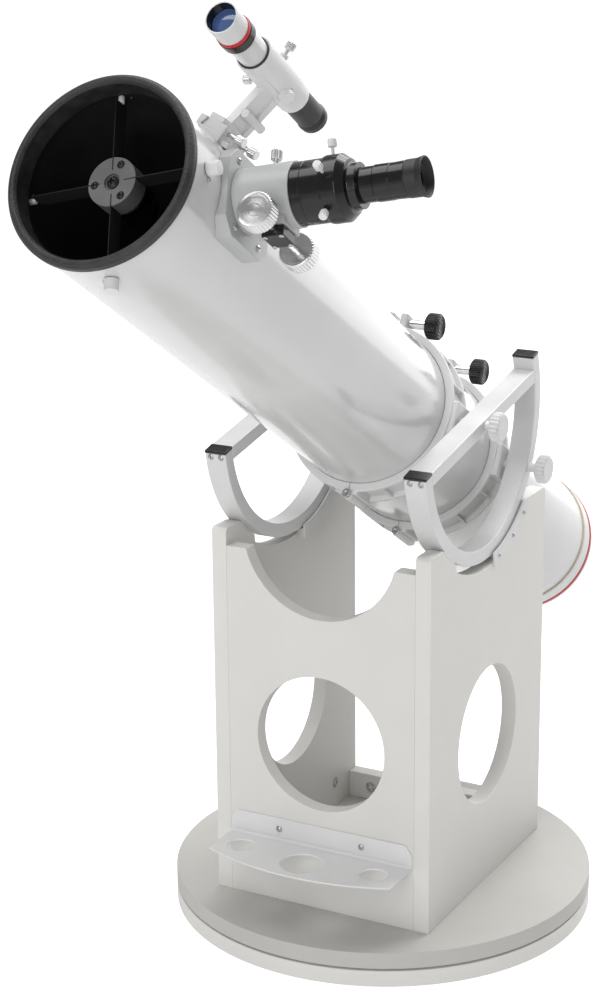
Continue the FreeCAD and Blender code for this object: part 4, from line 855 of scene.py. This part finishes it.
# %% Hand knobs
def clamp_knob(name, reach):
    base = aimed(TUBE, (13.5, 111.5, reach), (1, 0, 0))
    work = Work()
    work.lathe(base, [(0, -33), (3, -33), (3, -0.1, 0), (5.7, -0.1), (5.7, 25), (0, 25)], 48, 0.5,
               materials=[1] * 6)
    work.lathe(base, [(0, 24.2), (13.4, 24.2, 1), (15.6, 26, 1), (15.6, 38, 1.6), (13, 40.2, 0.7),
                      (11.4, 39.2, 0.5), (10, 40.1, 0.6), (7.8, 39.3, 0.5), (5.8, 40, 0.5),
                      (3.6, 39.4, 0.4), (0, 39.8, 0)],
               36 * 6, 0.4, (36, 0.9, 25.6, 39.2, 14.0))
    work.piece("clamp_grip_" + name, "clamp_knob_" + name, "black_plastic", "black_plastic chrome",
               "clamp_knob_" + name)


def bearing_knob(ring_name, side_name, side, reach, neck):
    base = aimed(TUBE, (side * 137.8, 0, reach), (side, 0, 0))
    work = Work()
    work.lathe(base, [(0, -42), (3, -42), (3, -0.02, 0), (5.5, -0.02), (5.5, neck + .4), (0, neck + .4)],
               48, 0.4)
    work.lathe(base, [(0, neck), (14, neck, 1.2), (17, neck + 2, 1.2), (17, neck + 11, 1.6),
                      (14.6, neck + 13.2, 1.2), (0, neck + 12.9, 0)],
               20 * 10, 0.4, (20, 1.7, neck + 1, neck + 12.9, 14.7))
    name = "bearing_knob_%s_%s" % (ring_name, side_name)
    work.piece(name.replace("knob", "grip"), name, "white_plastic", "white_plastic", name)


for ring_name, reach, neck in (("front", 0, 8.5), ("rear", -152, 12.4)):
    clamp_knob(ring_name, reach)
    for side_name, side in (("left", -1), ("right", 1)):
        bearing_knob(ring_name, side_name, side, reach, neck)
print("knobs done")

# %% [markdown]
# ## The tube
# A rolled steel tube, glossy white outside and flat black inside, with a grained black rim in front
# and a white end ring behind that carries a red band and a thin gold line. All are turned profiles;
# the tube's two colours are two materials on one profile.

# %% The tube
def tube_parts():
    Work().lathe(TUBE, [(91.3, -506, 0), (92.5, -506, 0.2), (92.5, 664, 0.2), (91.3, 664, 0)], 256, 0.2,
                 materials=[0, 0, 0, 1]).piece(
        "tube_shell", "tube", "white_paint", "tube_paint inside_black", "main_tube")
    Work().lathe(TUBE, [(92.55, 653.6, .4), (94.6, 653.6, 1), (95.8, 656, 1.5), (95.8, 662, 3),
                        (92.4, 665.5, 2.4), (88.6, 665.3, 2.2), (86.3, 662, 2), (86.3, 641, .6),
                        (91.2, 641, 0), (91.2, 664.1, 0), (92.55, 664.1, 0)], 256, 0.4).piece(
        "grained_rim", "tube", "black_plastic", "grained_black", "front_rim")
    Work().lathe(TUBE, [(84, -492), (91.2, -492), (91.2, -506.05, 0), (94.5, -506.05, 0.8),
                        (94.5, -528, .3), (93.3, -528, 0), (93.3, -534, 0), (94.5, -534, .3),
                        (94.5, -539, 3), (90, -545, 2), (84, -545, 1)], 256, 0.4,
                 materials=[1, 1, 1] + [0] * 7 + [1]).piece(
        "end_ring", "tube", "white_paint", "tube_paint inside_black", "rear_ring")
    Work().lathe(TUBE, [(93.1, -533.9), (95, -533.9, .8), (95, -528.1, .8), (93.1, -528.1)], 256, 0.2).piece(
        "red_band_ring", "tube", "red_metal", "red_anodised", "red_band")
    Work().lathe(TUBE, [(92.4, -505.95), (94.3, -505.95), (94.3, -504.4), (92.4, -504.4)], 256, 0.2).piece(
        "cream_line_ring", "tube", "white_paint", "cream_line")


tube_parts()
soften("mirror_cell", "black_plastic", "tube", 0.4)
dress("primary_mirror", "mirror")
soften("cell_screws", "steel", "tube", 0.3)
print("tube done")

# %% [markdown]
# ## Spider and diagonal
# Four thin black vanes hold a grey hub in the middle of the open end. Three small screws tilt the
# diagonal mirror behind it. Outside the tube each vane ends in a small round knob.

# %% Spider and diagonal
soften("spider_vanes", "inside_black", "tube", 0.1)
soften("spider_hub", "hub_grey", "tube", 0.5)
soften("secondary_holder", "black_plastic", "tube", 0.4)
dress("secondary_mirror", "mirror")
hub_spots = []
for index in range(3):
    turn = math.radians(90 - 14 - 120 * index)
    hub_spots.append(TUBE @ shift(18 * math.cos(turn), 18 * math.sin(turn), 637))
screw_set("hub_tilt_screws", hub_spots, "tube", "black_metal", "dark_steel", (), 3.6, 3.2, 20)
screw_set("hub_centre_screw", [TUBE @ shift(0, 0, 636)], "tube", "black_metal", "dark_steel", (), 6, 4, 18)
knobs = Work()
lugs = []
for quarter in range(4):
    base = around_tube(76 + 90 * quarter, 629)
    knobs.lathe(base, [(0, 84.6), (3, 84.6), (3, 93), (7, 93.2), (7, 105), (0, 105.6, 0)], 24 * 6, 0.8,
                (24, 0.35, 94.2, 104, 6.9))
    lugs.append(aimed(around_tube(76 + 90 * quarter, 629), (-3, 8.7, 92.7), (0, 0, 1)))
knobs.piece("spider_grips", "tube", "steel", "white_plastic", "spider_knobs")
screw_set("spider_lug_screws", lugs, "tube", "steel", "steel", (), 2.2, 1.3, 3)
print("spider done")

# %% [markdown]
# ## Focuser
# A rack-and-pinion focuser stands on an eight-sided saddle. The housing is grey paint, the drawtube
# and its adapters are black, and two spun silver knobs turn the pinion between them.

# %% Focuser housing
PINION_SIDE = 36
PINION_OUT = 135
soften("focuser_base", "focuser_grey", "tube", 0.8, 3)
soften("focuser_housing", "focuser_grey", "tube", 0.6, 3)
soften("pinion_cover", "black_anodised", "tube", 0.8, 3)
plate_screws = [aimed(FOCUSER, (-7 + x * 25, y * 33, 99), (0, 0, 1)) for x in (-1, 1) for y in (-1, 1)]
screw_set("saddle_screws", plate_screws, "tube", "steel", "steel", (), 3.4, 2, 8)
cover_screws = [aimed(FOCUSER, (x, PINION_SIDE + 8.5, PINION_OUT + z), (0, 1, 0))
                for x in (-10.5, 10.5) for z in (-8, 8)]
screw_set("cover_plate_screws", cover_screws, "tube", "steel", "steel", (), 2.4, 1.4, 3)


def thumbscrew(work, spot, radius, head, shank_radius, shank, count=14):
    """A small fluted head on a round shank; the shank runs from the frame's origin."""
    work.lathe(spot, [(0, 0), (shank_radius, 0), (shank_radius, shank + 0.5, 0), (0, shank + 0.5)], 24, 0.2)
    work.lathe(spot, [(0, shank), (radius * .8, shank, 0.4), (radius, shank + 1), (radius, shank + head - 1),
                      (radius * .85, shank + head, 0.4), (0, shank + head, 0)], count * 8, 0.3,
               (count, radius * 0.1, shank + 0.8, shank + head - 0.8, radius * 0.92))


lock = Work()
thumbscrew(lock, aimed(FOCUSER, (0, -28.6, 128), (0, -1, 0)), 5.5, 10, 2.5, 9.4)
lock.piece("lock_thumbscrew", "focus_lock", "steel", "silver_fine", "focus_lock_screw")

# %% Focus knobs, drawtube and adapters
wheels = Work()
WHEEL_START = 37.5
SHAFT_HALF = 50
wheels.lathe(aimed(FOCUSER, (-SHAFT_HALF, PINION_SIDE, PINION_OUT), (1, 0, 0)),
             [(0, 0), (4, 0), (4, 2 * SHAFT_HALF), (0, 2 * SHAFT_HALF)], 32, 0.3)
for end in (-1, 1):
    base = aimed(FOCUSER, (end * WHEEL_START, PINION_SIDE, PINION_OUT), (end, 0, 0))
    wheels.lathe(base, [(4, 0), (16.4, 0, 1), (18, 1.5, .6), (18, 14.6, .8), (17.0, 16, .5), (16.2, 16, .4),
                        (15.6, 15, .3), (0, 14.6, 0), (0, 6, 0), (4, 6, 0)],
                 34 * 8, 0.4, (34, 1.0, 1, 15.2, 16.6))
wheels.piece("focus_wheels", "focus_wheel", "silver", "silver_turned", "focus_knobs")
Work().lathe(FOCUSER, [(25.5, 84), (28, 84), (28, 176), (25.5, 176)], 160, 0.3).piece(
    "black_drawtube", "drawtube", "black_metal", "black_anodised", "drawtube")
Work().lathe(FOCUSER, [(28.05, 155.4, .3), (29.6, 155.4, .5), (29.6, 164.8, .2), (29.2, 165.2, .1),
                       (29.6, 165.6, .2), (29.6, 184, .2), (30.9, 184.4, .5), (31.5, 187), (31.5, 200.5, 1.2),
                       (26, 207.5, 1), (21.8, 208.6, 1), (21.5, 216), (16.3, 216), (16.3, 176.1, 0),
                       (28.05, 176.1, 0)], 160, 0.4).piece(
    "stepped_adapter", "drawtube", "black_metal", "black_anodised", "eyepiece_adapter")
ring_screws = Work()
for angle, level, reach in ((200, 190, 38), (265, 190, 38), (330, 188, 34.5)):
    turn = math.radians(angle)
    aim = Vector((-math.sin(turn), math.cos(turn), 0))
    start = aim * 22.5 + Vector((0, 0, level))
    thumbscrew(ring_screws, aimed(FOCUSER, start, aim), 4.2, 8, 1.5, reach - 22.5, 12)
ring_screws.piece("adapter_thumbscrews", "drawtube", "steel", "white_plastic", "adapter_screws")

# %% Eyepiece
Work().lathe(FOCUSER, [(13.5, 187), (15.9, 187), (15.9, 217, 0), (16.5, 218.4), (16.5, 230.6), (17.2, 231.4),
                       (17.2, 246, .4), (16.8, 246.4, .2), (17.3, 260.9), (11, 260.9, 0), (11, 237, 0),
                       (13.5, 227, 0)],
             48 * 6, 0.4, (48, 0.5, 232, 245.8, 17.0)).piece(
    "eyepiece_barrel", "eyepiece", "black_metal", "black_anodised", "eyepiece_body")
Work().lathe(FOCUSER, [(12, 261.05), (17.5, 261.05), (17.6, 272, 2), (19.2, 278, .8), (17.8, 278.5, .6),
                       (14.5, 271.5), (12, 269.5)], 128, 0.5).piece(
    "rubber_eyecup", "eyepiece", "black_rubber", "rubber", "eyecup")
Work().lathe(FOCUSER, [(0, 261.1), (11.5, 261.1), (11.5, 263, .3), (0, 264.4, 0)], 64, 0.2).piece(
    "eye_lens_glass", "eyepiece", "glass", "coated_lens", "eye_lens")
print("focuser done")

# %% [markdown]
# ## Finder
# A small straight-through telescope in a cast bracket. Three thumbscrews aim it; the bracket's
# dovetail foot slides into a shoe on the tube, where two more thumbscrews hold it.

# %% Finder
soften("finder_shoe", "cast_white", "tube", 0.7, 3)
soften("finder_bracket", "cast_white", "finder", 0.5, 3)
SCOPE = FINDER @ frame_of((0, 0, 180), (0, 0, -1), (0, 1, 0), (1, 0, 0))
Work().lathe(SCOPE, [(13.6, 479), (15.2, 479), (15.2, 602.8, 1), (17.8, 603.4), (17.8, 613), (13.6, 613)],
             128, 0.4, materials=[1, 0, 0, 1, 1, 1]).piece(
    "finder_barrel", "finder", "white_paint", "tube_paint black_anodised", "finder_tube")
Work().lathe(SCOPE, [(13.4, 613.1), (16.2, 613.1), (16.2, 617.6, 0), (16.4, 617.6, .2), (16.4, 640.4, .4),
                     (15.9, 641, .2), (14.8, 640.6, .2), (14.8, 627, 0), (13.4, 627, 0)], 128, 0.3,
             materials=[1, 1, 0, 0, 0, 0, 1, 1, 1]).piece(
    "dew_shield_sleeve", "finder", "white_paint", "cast_white black_anodised", "dew_shield")
Work().lathe(SCOPE, [(16, 613.1), (17.3, 613.1, .5), (17.3, 617.5, .5), (16, 617.5)], 128, 0.2).piece(
    "finder_red_ring", "finder", "red_metal", "red_anodised")
Work().lathe(SCOPE, [(15.1, 571.1), (16.6, 571.1, .6), (16.6, 573, .6), (15.1, 573)], 128, 0.2).piece(
    "finder_seal_ring", "finder", "black_rubber", "rubber")
Work().lathe(SCOPE, [(0, 627.1), (14.6, 627.1), (14.6, 630, .4), (0, 632.1, 0)], 96, 0.2).piece(
    "finder_glass", "finder", "glass", "coated_lens", "finder_lens")
Work().lathe(SCOPE, [(8, 436), (12, 430, 1), (15, 430, 1), (15.6, 437, 1), (14.2, 442, 1), (14.6, 446, .5),
                     (14.6, 478.9, .5), (13.4, 478.9, 0), (13.4, 499), (8, 499)], 128, 0.4).piece(
    "finder_eye_end", "finder", "black_metal", "rubber", "finder_eyepiece")
aimers = Work()
for angle, reach in ((0, 529), (245, 518)):
    turn = math.radians(angle)
    aim = Vector((0, math.sin(turn), math.cos(turn)))
    thumbscrew(aimers, aimed(FINDER, aim * 15.4 + Vector((reach, 0, 180)), aim), 5, 8, 2, 12.1)
aimers.piece("aiming_thumbscrews", "finder", "steel", "silver_fine", "finder_adjusters")
flanges = [aimed(FINDER, (541 + x, y, 96), (0, 0, 1)) for x in (-13, 13) for y in (-23, 23)]
screw_set("shoe_flange_screws", flanges, "tube", "steel", "steel", (), 2.6, 1.6, 3)
holders = Work()
for x in (-13.5, 13.5):
    thumbscrew(holders, aimed(FINDER, (541 + x, 12.2, 104), (0, 1, 0)), 5, 10, 2, 15.3)
holders.piece("shoe_thumbscrews", "tube", "steel", "silver_fine", "shoe_screws")
print("finder done")
